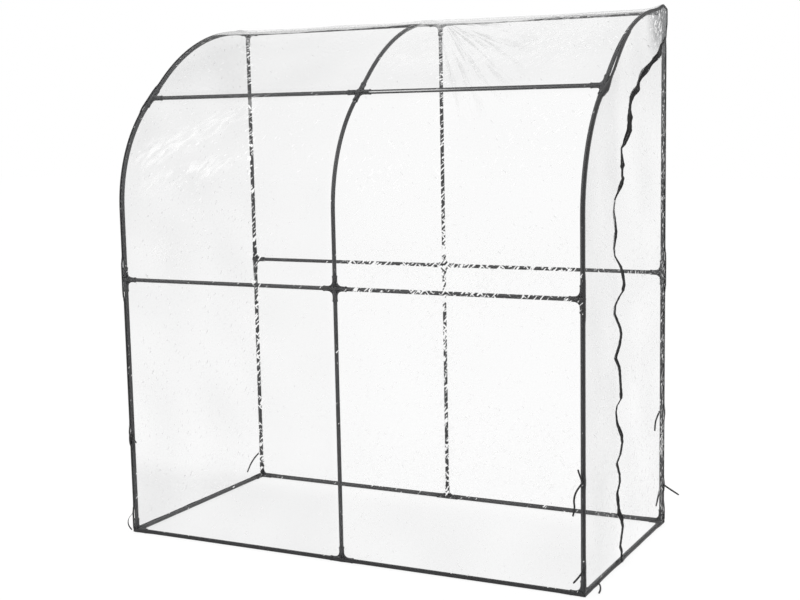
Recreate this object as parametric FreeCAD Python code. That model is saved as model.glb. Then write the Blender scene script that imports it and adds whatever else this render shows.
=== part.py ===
import FreeCAD, Part
import math
import os
from FreeCAD import Vector

# A lean to greenhouse: steel tubes pushed into plastic sockets, under a clear film cover with a zipped door.
# Millimetres. X runs along the wall, +Y points at the wall, Z is up.
# The origin is on the ground, under the middle of the frame.

# Frame sizes, all to the centre lines of the tubes
FRAME_WIDTH = 1980.0
FRAME_DEPTH = 980.0
SOLE_HEIGHT = 9.0
FRONT_RAIL_HEIGHT = 1074.0
REAR_RAIL_HEIGHT = 1062.0
RIDGE_HEIGHT = 2113.0
PURLIN_DROP = 298.0
PURLIN_SETBACK = 232.0
ROOF_LEAN_DEG = 48.9

# Tubes
TUBE_SIDES = 10
TUBE_RADIUS = 8.0
TUBE_WALL = 0.6
TUBE_END_PLAY = 0.2
STRAIGHT_END = 55.0

# Plastic connectors
SOCKET_SIDES = 8
SOCKET_CLEARANCE = 0.1
SOCKET_WALL = 1.7
SOCKET_REACH = 50.0
SOCKET_FLOOR = 13.0
COLLAR_STEP = 1.0
COLLAR_LENGTH = 6.0
GUSSET_REACH = 36.0
GUSSET_THICKNESS = 5.0
GUSSET_HOLLOW = 0.3

# Film cover
FILM_THICKNESS = 0.3
FILM_GAP = 1.0
FILM_FOOT = 4.0

# Black binding along the seams and the hem
BINDING_WIDTH = 12.0
BINDING_THICKNESS = 0.6
BINDING_LIP = 6.0
HEM_HEIGHT = 14.0
EAR_RISE = 16.0
EAR_SETBACK = 57.0
EAR_LENGTH = 140.0

# Door in the right end panel
ZIP_SETBACK = 405.0
ZIP_BEND_RADIUS = 300.0
ZIP_BEND_CORNER_DROP = 430.0
ZIP_TURN_DEG = 60.0
ZIP_BEND_FLATS = 12
DOOR_HINGE_INSET = 10.0
DOOR_HINGE_GAP = 0.5

# Zip
ZIP_SLOT = 1.6
ZIP_TAPE_WIDTH = 12.0
ZIP_TAPE_THICKNESS = 0.4
ZIP_TAPE_SHORT = 6.0
TEETH_WIDTH = 2.2
TEETH_HEIGHT = 1.6
SLIDER_CLEARANCE = 0.3
SLIDER_LENGTH = 16.0
SLIDER_WALL = 2.2
SLIDER_PLATE = 1.5
SLIDER_WEB = 0.8
SLIDER_START = 22.0
SLIDER_TOP_MARGIN = 4.0
PULL_PIN_DROP = 5.0
PULL_PIN_RADIUS = 0.8
PULL_PIN_CLEARANCE = 0.1
PULL_EYE_WALL = 1.0
PULL_NECK = 5.0
PULL_NECK_LAP = 1.0
PULL_WIDTH = 7.0
PULL_LENGTH = 27.0
PULL_THICKNESS = 1.2
PULL_LUG = 1.2
PULL_SIDE_GAP = 0.2

# Ties that hold the cover to the frame
TIE_WIDTH = 7.0
TIE_THICKNESS = 1.2
TIE_GAP = 0.3
TIE_KNOT_RADIUS = 5.0
TIE_KNOT_THICKNESS = 4.0
TIE_BEND_SHARE = 0.45
TIE_STAND_OFF = 5.0

# Values worked out from the sizes above
HALF_WIDTH = FRAME_WIDTH / 2
FRONT = -FRAME_DEPTH / 2
REAR = FRAME_DEPTH / 2
PURLIN_HEIGHT = RIDGE_HEIGHT - PURLIN_DROP
LEAN = math.radians(ROOF_LEAN_DEG)
BORE_RADIUS = TUBE_RADIUS + SOCKET_CLEARANCE
SOCKET_RADIUS = BORE_RADIUS + SOCKET_WALL
COLLAR_RADIUS = SOCKET_RADIUS + COLLAR_STEP
FILM_INNER = COLLAR_RADIUS + FILM_GAP
FILM_OUTER = FILM_INNER + FILM_THICKNESS
END_INNER = HALF_WIDTH + FILM_INNER
END_OUTER = HALF_WIDTH + FILM_OUTER
HEM_FOOT = FILM_FOOT - BINDING_THICKNESS
TUBE_END = SOCKET_FLOOR + TUBE_END_PLAY

LEFT = Vector(-1, 0, 0)
RIGHT = Vector(1, 0, 0)
FORWARD = Vector(0, -1, 0)
BACKWARD = Vector(0, 1, 0)
UP = Vector(0, 0, 1)
DOWN = Vector(0, 0, -1)
ROOF_UP = Vector(0, math.sin(LEAN), math.cos(LEAN))
ROOF_DOWN = ROOF_UP * -1


def save(name, solids):
    """Write one sub-part, a solid or a list of separate solids."""
    shape = solids
    if isinstance(solids, list):
        shape = Part.makeCompound(solids)
    shape.exportStep("parts/" + name + ".step")


def side_point(y, z):
    """A point of a side view, in the plane of the middle frame."""
    return Vector(0, y, z)


# The side view of the frame: up the front, over two bends and level to the ridge

FRONT_CORNER = side_point(FRONT, PURLIN_HEIGHT - PURLIN_SETBACK / math.tan(LEAN))
PURLIN = side_point(FRONT + PURLIN_SETBACK, PURLIN_HEIGHT)
ROOF_CORNER = PURLIN + ROOF_UP * ((RIDGE_HEIGHT - PURLIN_HEIGHT) / math.cos(LEAN))
RIDGE = side_point(REAR, RIDGE_HEIGHT)
LOWER_CUT = (PURLIN - FRONT_CORNER).Length - STRAIGHT_END
UPPER_CUT = min((ROOF_CORNER - PURLIN).Length, (RIDGE - ROOF_CORNER).Length) - STRAIGHT_END
LOWER_BEND_RADIUS = LOWER_CUT / math.tan(LEAN / 2)
UPPER_BEND_RADIUS = UPPER_CUT / math.tan((math.pi / 2 - LEAN) / 2)


def bend(before, corner, after, cut):
    """The start, middle, end and centre of an arc that rounds a corner, cut that far from it."""
    to_before = (before - corner).normalize()
    to_after = (after - corner).normalize()
    half = to_before.getAngle(to_after) / 2
    inward = (to_before + to_after).normalize()
    to_centre = cut / math.cos(half)
    radius = cut * math.tan(half)
    start = corner + to_before * cut
    end = corner + to_after * cut
    return start, corner + inward * (to_centre - radius), end, corner + inward * to_centre


def rounded_route(points, cuts):
    """Straight runs through the points, each inner corner rounded by an arc."""
    edges = []
    last = points[0]
    for index, cut in enumerate(cuts):
        start, middle, end, _ = bend(points[index], points[index + 1], points[index + 2], cut)
        edges.append(Part.LineSegment(last, start).toShape())
        edges.append(Part.Arc(start, middle, end).toShape())
        last = end
    edges.append(Part.LineSegment(last, points[-1]).toShape())
    return edges


# Round sections are drawn with flats, so that the many tubes and sockets stay light

def section(radius, sides, centre, along):
    """A many-sided face square to a direction, with that radius to its flats."""
    first = UP if abs(along.x) > 0.5 else RIGHT
    second = along.cross(first).normalize()
    reach = radius / math.cos(math.pi / sides)
    corners = []
    for step in range(sides + 1):
        turn = (step + 0.5) * 2 * math.pi / sides
        corners.append(centre + (first * math.cos(turn) + second * math.sin(turn)) * reach)
    return Part.Face(Part.makePolygon(corners))


def round_bar(radius, length, foot, along):
    return section(radius, TUBE_SIDES, foot, along).extrude(along * length)


def socket_bar(radius, length, foot, along):
    return section(radius, SOCKET_SIDES, foot, along).extrude(along * length)


def bent_bar(radius, first, corner, last, cut):
    """A bar along two straight runs with an arc between them."""
    start, _, end, centre = bend(first, corner, last, cut)
    along = (start - first).normalize()
    after = (last - end).normalize()
    turn = math.degrees(along.getAngle(after))
    lower = section(radius, TUBE_SIDES, first, along).extrude(start - first)
    arc = section(radius, TUBE_SIDES, start, along).revolve(centre, along.cross(after), turn)
    upper = section(radius, TUBE_SIDES, end, after).extrude(last - end)
    return lower.fuse([arc, upper]).removeSplitter()


# Tubes

def straight_tube(start, end):
    """A tube between two connector centres, short of each by the socket floor."""
    along = (end - start).normalize()
    foot = start + along * TUBE_END
    length = (end - start).Length - 2 * TUBE_END
    outside = round_bar(TUBE_RADIUS, length, foot, along)
    return outside.cut(round_bar(TUBE_RADIUS - TUBE_WALL, length, foot, along))


def bent_tube(start, corner, end, cut, x):
    """A tube with one bend, between two connector centres of a bent frame at x."""
    first = start + (corner - start).normalize() * TUBE_END
    last = end + (corner - end).normalize() * TUBE_END
    outside = bent_bar(TUBE_RADIUS, first, corner, last, cut)
    tube = outside.cut(bent_bar(TUBE_RADIUS - TUBE_WALL, first, corner, last, cut))
    tube.translate(Vector(x, 0, 0))
    return tube


# Connectors

def socket_outside(centre, along):
    """The outside of one socket, with a collar at its mouth."""
    arm = socket_bar(SOCKET_RADIUS, SOCKET_REACH - COLLAR_LENGTH, centre, along)
    collar_foot = centre + along * (SOCKET_REACH - COLLAR_LENGTH)
    return arm.fuse(socket_bar(COLLAR_RADIUS, COLLAR_LENGTH, collar_foot, along))


def socket_bore(centre, along):
    """The blind hole that takes a tube's end."""
    depth = SOCKET_REACH - SOCKET_FLOOR
    return round_bar(BORE_RADIUS, depth, centre + along * SOCKET_FLOOR, along)


def gusset(centre, first, second):
    """A web in the corner between two sockets, its free edge drawn in."""
    normal = first.cross(second).normalize()
    across = first + second
    tip_a = centre + first * GUSSET_REACH + second * SOCKET_RADIUS
    tip_b = centre + second * GUSSET_REACH + first * SOCKET_RADIUS
    hollow = centre + across * (SOCKET_RADIUS + (GUSSET_REACH - SOCKET_RADIUS) * GUSSET_HOLLOW)
    corners = [centre, centre + first * GUSSET_REACH, tip_a, hollow, tip_b, centre + second * GUSSET_REACH]
    outline = Part.makePolygon(corners + [centre])
    web = Part.Face(outline).extrude(normal * GUSSET_THICKNESS)
    web.translate(normal * (-GUSSET_THICKNESS / 2))
    return web


def connector(centre, arms):
    """A moulded joint with one socket along each arm, webbed in its square corners."""
    hub = socket_bar(COLLAR_RADIUS, 2 * COLLAR_RADIUS, centre - arms[0] * COLLAR_RADIUS, arms[0])
    body = hub.fuse([socket_outside(centre, arm) for arm in arms])
    for index, first in enumerate(arms):
        for second in arms[index + 1:]:
            if abs(first.dot(second)) < 0.5:
                body = body.fuse(gusset(centre, first, second))
    for arm in arms:
        body = body.cut(socket_bore(centre, arm))
    ground = Part.makeBox(4 * SOCKET_REACH, 4 * SOCKET_REACH, SOCKET_REACH)
    ground.translate(Vector(centre.x - 2 * SOCKET_REACH, centre.y - 2 * SOCKET_REACH, -SOCKET_REACH))
    return body.cut(ground).removeSplitter()


def post_positions():
    """The x of each bent frame, and the ways its rails leave it."""
    return [
        ("left", -HALF_WIDTH, [RIGHT]),
        ("centre", 0.0, [LEFT, RIGHT]),
        ("right", HALF_WIDTH, [LEFT]),
    ]


def connector_row(y, z, arms):
    """One connector on each bent frame at the same place in the side view."""
    row = []
    for _, x, rails in post_positions():
        row.append(connector(Vector(x, y, z), rails + arms))
    return row


def build_connectors():
    corners = []
    middles = []
    for y, inward in ((FRONT, BACKWARD), (REAR, FORWARD)):
        for _, x, rails in post_positions():
            centre = Vector(x, y, SOLE_HEIGHT)
            if len(rails) == 1:
                corners.append(connector(centre, rails + [inward, UP]))
            else:
                middles.append(connector(centre, rails + [UP]))
    save("base_corner_connectors", corners)
    save("base_middle_connectors", middles)
    save("front_mid_connectors", connector_row(FRONT, FRONT_RAIL_HEIGHT, [UP, DOWN]))
    save("rear_mid_connectors", connector_row(REAR, REAR_RAIL_HEIGHT, [UP, DOWN]))
    save("purlin_connectors", connector_row(PURLIN.y, PURLIN.z, [ROOF_UP, ROOF_DOWN]))
    save("ridge_connectors", connector_row(REAR, RIDGE_HEIGHT, [FORWARD, DOWN]))


def build_posts():
    for name, x, _ in post_positions():
        front_foot = Vector(x, FRONT, SOLE_HEIGHT)
        front_mid = Vector(x, FRONT, FRONT_RAIL_HEIGHT)
        rear_foot = Vector(x, REAR, SOLE_HEIGHT)
        rear_mid = Vector(x, REAR, REAR_RAIL_HEIGHT)
        rear_top = Vector(x, REAR, RIDGE_HEIGHT)
        save("front_post_" + name, straight_tube(front_foot, front_mid))
        save("rear_lower_post_" + name, straight_tube(rear_foot, rear_mid))
        save("rear_upper_post_" + name, straight_tube(rear_mid, rear_top))


def build_arches():
    front_mid = side_point(FRONT, FRONT_RAIL_HEIGHT)
    lower = []
    upper = []
    for _, x, _ in post_positions():
        lower.append(bent_tube(front_mid, FRONT_CORNER, PURLIN, LOWER_CUT, x))
        upper.append(bent_tube(PURLIN, ROOF_CORNER, RIDGE, UPPER_CUT, x))
    save("lower_arch_tubes", lower)
    save("upper_arch_tubes", upper)


def build_rails():
    rails = {
        "front_base_rail": (FRONT, SOLE_HEIGHT),
        "rear_base_rail": (REAR, SOLE_HEIGHT),
        "front_mid_rail": (FRONT, FRONT_RAIL_HEIGHT),
        "rear_mid_rail": (REAR, REAR_RAIL_HEIGHT),
        "purlin": (PURLIN.y, PURLIN.z),
        "ridge_rail": (REAR, RIDGE_HEIGHT),
    }
    for name, (y, z) in rails.items():
        for side, x in (("left", -HALF_WIDTH), ("right", HALF_WIDTH)):
            save(name + "_" + side, straight_tube(Vector(x, y, z), Vector(0, y, z)))
    for side, x in (("left", -HALF_WIDTH), ("right", HALF_WIDTH)):
        start = Vector(x, FRONT, SOLE_HEIGHT)
        save("side_base_rail_" + side, straight_tube(start, Vector(x, REAR, SOLE_HEIGHT)))


# Cover

def cover_outline(offset, foot):
    """The closed side view of the cover, that far outside the tube centres."""
    across = Vector(0, -offset, 0)
    roof = Vector(0, -math.cos(LEAN), math.sin(LEAN)) * offset
    front_foot = side_point(FRONT - offset, foot)
    front_corner = FRONT_CORNER + across + UP * (offset * math.tan(LEAN / 2))
    turn = (math.pi / 2 - LEAN) / 2
    roof_corner = side_point(ROOF_CORNER.y - offset * math.tan(turn), RIDGE_HEIGHT + offset)
    rear_top = side_point(REAR + offset, RIDGE_HEIGHT + offset)
    rear_foot = side_point(REAR + offset, foot)
    lower_cut = LOWER_CUT + offset * math.tan(LEAN / 2)
    upper_cut = UPPER_CUT + offset * math.tan(turn)
    ridge_cut = offset / 2
    points = [front_foot, front_corner, roof_corner, rear_top, rear_foot]
    edges = rounded_route(points, [lower_cut, upper_cut, ridge_cut])
    edges.append(Part.LineSegment(rear_foot, front_foot).toShape())
    return Part.Face(Part.Wire(edges))


def band(inner, outer, foot):
    """The side view of a sheet or strip that follows the cover between two offsets."""
    return cover_outline(outer, foot).cut(cover_outline(inner, foot))


def extrude_x(face, x, thickness):
    solid = face.extrude(Vector(thickness, 0, 0))
    solid.translate(Vector(x, 0, 0))
    return solid


def zip_bend(shift):
    """The corners of the zip's bend, drawn with flats, and the slope of the zip beyond it."""
    turn = math.radians(ZIP_TURN_DEG)
    bend_corner = RIDGE_HEIGHT - ZIP_BEND_CORNER_DROP
    bend_start = bend_corner - ZIP_BEND_RADIUS * math.tan(turn / 2)
    centre = side_point(ZIP_LINE + ZIP_BEND_RADIUS, bend_start)
    corners = []
    for step in range(ZIP_BEND_FLATS + 1):
        angle = turn * step / ZIP_BEND_FLATS
        out = Vector(0, -math.cos(angle), math.sin(angle))
        corners.append(centre + out * (ZIP_BEND_RADIUS - shift))
    return corners, Vector(0, math.sin(turn), math.cos(turn))


def door_outline(shift, foot, hinge_line):
    """The side view of the door: between the zip line, moved that far, and the hinge line."""
    corners, slope = zip_bend(shift)
    end = corners[-1]
    top = end + slope * ((hinge_line - end.y) / slope.y)
    bottom = side_point(corners[0].y, foot)
    outline = [bottom] + corners + [top, side_point(hinge_line, foot), bottom]
    return Part.Face(Part.makePolygon(outline))


def zip_band(near, far, foot, hinge_line):
    """A strip along the zip line between two shifts."""
    outside = door_outline(near, foot, hinge_line)
    return outside.cut(door_outline(far, foot, hinge_line))


HINGE_LINE = REAR - DOOR_HINGE_INSET
DOOR_EDGE = HINGE_LINE - DOOR_HINGE_GAP
ZIP_HALF = ZIP_SLOT / 2
ZIP_LINE = FRONT + ZIP_SETBACK
TAPE_END = HINGE_LINE - ZIP_TAPE_SHORT
TAPE_FACE = END_OUTER + ZIP_TAPE_THICKNESS
TEETH_FACE = TAPE_FACE + TEETH_HEIGHT


def build_cover():
    sheet = band(FILM_INNER, FILM_OUTER, FILM_FOOT)
    save("cover_sheet", extrude_x(sheet, -END_OUTER, 2 * END_OUTER))
    end = cover_outline(FILM_INNER, FILM_FOOT)
    save("end_panel_left", extrude_x(end, -END_OUTER, FILM_THICKNESS))
    doorway = door_outline(-ZIP_HALF, 0.0, HINGE_LINE)
    save("end_panel_right", extrude_x(end.cut(doorway), END_INNER, FILM_THICKNESS))
    leaf = door_outline(ZIP_HALF, FILM_FOOT, DOOR_EDGE)
    save("door_leaf", extrude_x(leaf, END_INNER, FILM_THICKNESS))


def ear():
    """The seam's pointed end, which stands up at the rear top corner."""
    top = RIDGE_HEIGHT + FILM_OUTER + BINDING_THICKNESS
    back = REAR + FILM_OUTER + BINDING_THICKNESS
    points = [
        side_point(back - EAR_LENGTH, top),
        side_point(back - EAR_SETBACK, top + EAR_RISE),
        side_point(back, top),
        side_point(back, top - EAR_RISE),
        side_point(back - EAR_RISE, top - BINDING_WIDTH),
        side_point(back - EAR_LENGTH, top - BINDING_THICKNESS),
    ]
    return Part.Face(Part.makePolygon(points + [points[0]]))


def seam_binding():
    """Binding over the right end seam: a flat strip on the end and a lip on the sheet."""
    foot = HEM_FOOT + HEM_HEIGHT
    edge = FILM_OUTER + BINDING_THICKNESS
    strip = extrude_x(band(edge - BINDING_WIDTH, edge, foot), END_OUTER, BINDING_THICKNESS)
    lip_face = band(FILM_OUTER, edge, foot)
    lip = extrude_x(lip_face, END_OUTER - BINDING_LIP, BINDING_LIP)
    tip = extrude_x(ear(), END_OUTER, BINDING_THICKNESS)
    return strip.fuse(lip).fuse(tip).removeSplitter()


def build_bindings():
    binding = seam_binding()
    save("seam_binding_right", binding)
    save("seam_binding_left", binding.mirror(Vector(0, 0, 0), RIGHT))
    build_hem()


def upright_box(x_half, y_half, foot, height):
    box = Part.makeBox(2 * x_half, 2 * y_half, height)
    box.translate(Vector(-x_half, -y_half, foot))
    return box


def build_hem():
    """The binding folded round the bottom edge of the cover, cut through at the door."""
    outside = FILM_OUTER + BINDING_THICKNESS
    inside = FILM_INNER - BINDING_THICKNESS
    ring = upright_box(HALF_WIDTH + outside, REAR + outside, HEM_FOOT, HEM_HEIGHT)
    ring = ring.cut(upright_box(HALF_WIDTH + inside, REAR + inside, HEM_FOOT, HEM_HEIGHT))
    film = upright_box(HALF_WIDTH + FILM_OUTER, REAR + FILM_OUTER, FILM_FOOT, HEM_HEIGHT)
    film = film.cut(upright_box(HALF_WIDTH + FILM_INNER, REAR + FILM_INNER, FILM_FOOT, HEM_HEIGHT))
    ring = ring.cut(film)
    clear = ZIP_HALF + ZIP_TAPE_WIDTH
    swing_end = HINGE_LINE + ZIP_TAPE_SHORT
    fixed_gap = Part.makeBox(4 * FILM_OUTER, swing_end - ZIP_LINE + clear, HEM_HEIGHT)
    fixed_gap.translate(Vector(END_INNER - 2 * FILM_OUTER, ZIP_LINE - clear, HEM_FOOT))
    save("hem_binding", ring.cut(fixed_gap))
    door_gap = Part.makeBox(4 * FILM_OUTER, TAPE_END - ZIP_LINE - clear, HEM_HEIGHT)
    door_gap.translate(Vector(END_INNER - 2 * FILM_OUTER, ZIP_LINE + clear, HEM_FOOT))
    save("door_hem_binding", ring.common(door_gap))


# Zip

def zip_side(sign):
    """One tape with its row of teeth. The sign is +1 on the door and -1 on the panel."""
    near = ZIP_HALF if sign > 0 else -ZIP_HALF - ZIP_TAPE_WIDTH
    tape = zip_band(near, near + ZIP_TAPE_WIDTH, FILM_FOOT, TAPE_END)
    tape = extrude_x(tape, END_OUTER, ZIP_TAPE_THICKNESS)
    teeth_near = ZIP_HALF if sign > 0 else -ZIP_HALF - TEETH_WIDTH
    teeth = zip_band(teeth_near, teeth_near + TEETH_WIDTH, FILM_FOOT, TAPE_END)
    teeth = extrude_x(teeth, TAPE_FACE, TEETH_HEIGHT)
    return tape.fuse(teeth).removeSplitter()


def y_box(x, width_y, foot, depth_x, height):
    """A box centred on the zip line, from x outwards."""
    box = Part.makeBox(depth_x, width_y, height)
    box.translate(Vector(x, ZIP_LINE - width_y / 2, foot))
    return box


CHANNEL = ZIP_SLOT + 2 * TEETH_WIDTH + 2 * SLIDER_CLEARANCE
SLIDER_WIDTH = CHANNEL + 2 * SLIDER_WALL
SLIDER_OUTER = TEETH_FACE + SLIDER_CLEARANCE
SLIDER_FACE = SLIDER_OUTER + SLIDER_PLATE
SLIDER_INNER = END_INNER - SLIDER_CLEARANCE
PIN_HEIGHT = SLIDER_START + SLIDER_LENGTH - PULL_PIN_DROP
EYE_RADIUS = PULL_PIN_RADIUS + PULL_PIN_CLEARANCE + PULL_EYE_WALL
PIN_OUT = SLIDER_FACE + SLIDER_CLEARANCE + EYE_RADIUS


def slider():
    """The zip's slider: a channel over the teeth, a web in the slot and a wing behind the film."""
    skirt = TAPE_FACE + SLIDER_CLEARANCE
    outer = y_box(skirt, SLIDER_WIDTH, SLIDER_START, SLIDER_FACE - skirt, SLIDER_LENGTH)
    edges = [edge for edge in outer.Edges if is_along_x(edge)]
    outer = outer.makeChamfer(SLIDER_WALL, edges)
    outer = outer.cut(y_box(skirt, CHANNEL, SLIDER_START, SLIDER_OUTER - skirt, SLIDER_LENGTH))
    wing = y_box(SLIDER_INNER - SLIDER_PLATE, SLIDER_WIDTH, SLIDER_START, SLIDER_PLATE, SLIDER_LENGTH)
    web = y_box(SLIDER_INNER, SLIDER_WEB, SLIDER_START, SLIDER_OUTER - SLIDER_INNER, SLIDER_LENGTH)
    body = outer.fuse(web).fuse(wing)
    eye_width = PULL_WIDTH / 2
    for side in (-1, 1):
        middle = ZIP_LINE + side * (eye_width / 2 + PULL_SIDE_GAP + PULL_LUG / 2)
        lug = Part.makeBox(PIN_OUT - SLIDER_FACE, PULL_LUG, 2 * EYE_RADIUS)
        lug.translate(Vector(SLIDER_FACE, middle - PULL_LUG / 2, PIN_HEIGHT - EYE_RADIUS))
        cap_foot = Vector(PIN_OUT, middle - PULL_LUG / 2, PIN_HEIGHT)
        body = body.fuse(lug).fuse(Part.makeCylinder(EYE_RADIUS, PULL_LUG, cap_foot, BACKWARD))
    span = eye_width + 2 * PULL_SIDE_GAP + PULL_LUG
    pin_foot = Vector(PIN_OUT, ZIP_LINE - span / 2, PIN_HEIGHT)
    return body.fuse(Part.makeCylinder(PULL_PIN_RADIUS, span, pin_foot, BACKWARD)).removeSplitter()


def is_along_x(edge):
    return abs(edge.tangentAt(edge.FirstParameter).x) > 0.9


def pull_tab():
    """The pull, hanging from the slider's pin."""
    eye_width = PULL_WIDTH / 2
    eye_foot = Vector(PIN_OUT, ZIP_LINE - eye_width / 2, PIN_HEIGHT)
    eye = Part.makeCylinder(EYE_RADIUS, eye_width, eye_foot, BACKWARD)
    inner_face = PIN_OUT - PULL_THICKNESS / 2
    neck_length = PULL_NECK + PULL_NECK_LAP
    neck = y_box(inner_face, eye_width, PIN_HEIGHT - neck_length, PULL_THICKNESS, neck_length)
    plate_length = PULL_LENGTH - PULL_NECK
    plate = y_box(inner_face, PULL_WIDTH, PIN_HEIGHT - PULL_LENGTH, PULL_THICKNESS, plate_length)
    edges = [edge for edge in plate.Edges if is_along_x(edge)]
    plate = plate.makeChamfer(PULL_WIDTH / 4, edges)
    bore_foot = Vector(PIN_OUT, ZIP_LINE - PULL_WIDTH / 2, PIN_HEIGHT)
    bore = Part.makeCylinder(PULL_PIN_RADIUS + PULL_PIN_CLEARANCE, PULL_WIDTH, bore_foot, BACKWARD)
    return eye.fuse(neck).fuse(plate).cut(bore).removeSplitter()


def build_zip():
    save("zip_tape_panel", zip_side(-1))
    save("zip_tape_door", zip_side(1))
    save("zip_slider", slider())
    save("zip_pull_tab", pull_tab())


# Ties: flat black tapes sewn to the seams outside the cover, each with a knot and loose ends

def strap(points, facing):
    """A flat tape along straight runs joined by tangent arcs, its flat side facing that way."""
    cuts = []
    for before, corner, after in zip(points, points[1:], points[2:]):
        shorter = min((corner - before).Length, (after - corner).Length)
        cuts.append(TIE_BEND_SHARE * shorter)
    path = Part.Wire(rounded_route(points, cuts))
    along = (points[1] - points[0]).normalize()
    across = along.cross(facing).normalize() * (TIE_WIDTH / 2)
    through = across.cross(along).normalize() * (TIE_THICKNESS / 2)
    corners = [across + through, through - across, across * -1 - through, across - through]
    corners = [points[0] + corner for corner in corners]
    tape = path.makePipeShell([Part.makePolygon(corners + [corners[0]])], True, False)
    report_strap(points, cuts, path, tape)
    return tape


def report_strap(points, cuts, path, tape):
    radii = []
    for index, cut in enumerate(cuts):
        before, corner, after = points[index:index + 3]
        half = (before - corner).getAngle(after - corner) / 2
        radii.append(round(cut * math.tan(half), 1))
    plain = TIE_WIDTH * TIE_THICKNESS * path.Length
    print("strap", round(path.Length, 1), "radii", radii, "volume ratio", round(tape.Volume / plain, 3))


def knot(place, outward):
    """The lump of a knot, just clear of the binding behind it."""
    foot = place + outward * TIE_GAP
    return socket_bar(TIE_KNOT_RADIUS, TIE_KNOT_THICKNESS, foot, outward)


def knot_reach(towards, outward):
    """How far the knot reaches from its middle in a direction."""
    lean = abs(towards.dot(outward))
    rim = TIE_KNOT_RADIUS / math.cos(math.pi / SOCKET_SIDES)
    if lean < 0.01:
        return rim
    return min(rim / math.sqrt(1 - lean * lean), TIE_KNOT_THICKNESS / 2 / lean)


def tie(post, outward, place, ends):
    """A knot on a seam near a post and its loose ends, all as offsets from the post's foot.

    Each loose end is a list of points after the one on the knot's rim.
    """
    lump = post + Vector(*place)
    solids = [knot(lump, outward)]
    middle = lump + outward * (TIE_GAP + TIE_KNOT_THICKNESS / 2)
    for route in ends:
        points = [post + Vector(*point) for point in route]
        towards = (points[0] - middle).normalize()
        start = middle + towards * (knot_reach(towards, outward) + TIE_GAP)
        solids.append(strap([start] + points, outward))
    return solids


def build_ties():
    face = FILM_OUTER + BINDING_THICKNESS
    out = face + TIE_STAND_OFF
    post = Vector(HALF_WIDTH, FRONT, 0)
    right = tie(post, FORWARD, (4, -face, 423), [
        [(-4, -out, 443), (-12, -out - 1, 470)],
        [(-11, -out, 402), (-22, -out - 3, 381), (-27, -out - 4, 355), (-23, -out - 2, 327),
         (-32, -out, 297)],
    ])
    right += tie(post, FORWARD, (8, -face, 106), [
        [(-6, -out - 1, 79), (-30, -out - 3, 52)],
    ])
    right += tie(post, RIGHT, (face, 124, 13), [
        [(face + 12, 114, 10.5), (face + 22, 90, 7), (face + 29, 64, 5.5), (face + 33, 38, 6)],
    ])
    post = Vector(HALF_WIDTH, REAR, 0)
    right += tie(post, BACKWARD, (-14, FILM_OUTER, 474), [
        [(-24, out, 452), (-33, out + 2, 427), (-34, out, 390)],
    ])
    right += tie(post, BACKWARD, (6, face, 164), [
        [(34, out + 1, 145), (71, out, 126)],
        [(-11, out, 142), (-19, out + 3, 108), (-27, out, 66)],
    ])
    save("ties_right", right)
    post = Vector(-HALF_WIDTH, FRONT, 0)
    left = tie(post, FORWARD, (-4, -face, 432), [
        [(12, -out, 408), (31, -out - 1, 391)],
        [(-6, -out, 402), (2, -out - 3, 373), (17, -out, 353)],
    ])
    left += tie(post, LEFT, (-face, -6, 80), [
        [(-face - 20, -4, 66), (-face - 35, -1, 43), (-face - 33, 1, 18), (-face - 17, 2, 5)],
    ])
    post = Vector(-HALF_WIDTH, REAR, 0)
    left += tie(post, BACKWARD, (-9, face, 126), [
        [(-38, out, 102), (-66, out + 2, 70), (-85, out + 1, 38), (-98, out, 8)],
        [(-10, out, 100), (-3, out + 1, 72)],
    ])
    save("ties_left", left)


os.makedirs("parts", exist_ok=True)
build_connectors()
build_posts()
build_arches()
build_rails()
build_cover()
build_bindings()
build_zip()
build_ties()
zip_straight_top = zip_bend(0.0)[0][0].z
print("bend radii", round(LOWER_BEND_RADIUS, 1), round(UPPER_BEND_RADIUS, 1))
print("slider travel", round(zip_straight_top - SLIDER_TOP_MARGIN - SLIDER_LENGTH - SLIDER_START, 1))
print("hinge x", round(END_INNER + FILM_THICKNESS / 2, 3), "y", HINGE_LINE)
print("pin x", round(PIN_OUT, 3), "y", ZIP_LINE, "z", PIN_HEIGHT)
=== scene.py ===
# %% [markdown]
# # A lean to greenhouse
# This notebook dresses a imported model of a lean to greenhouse: coated steel tubes in plastic sockets,
# a clear film cover with black bound seams, a zipped door in the right end, and the ties that hold it.
# Everything seen here is built over them.

# %% Load the frame
import math

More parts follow.
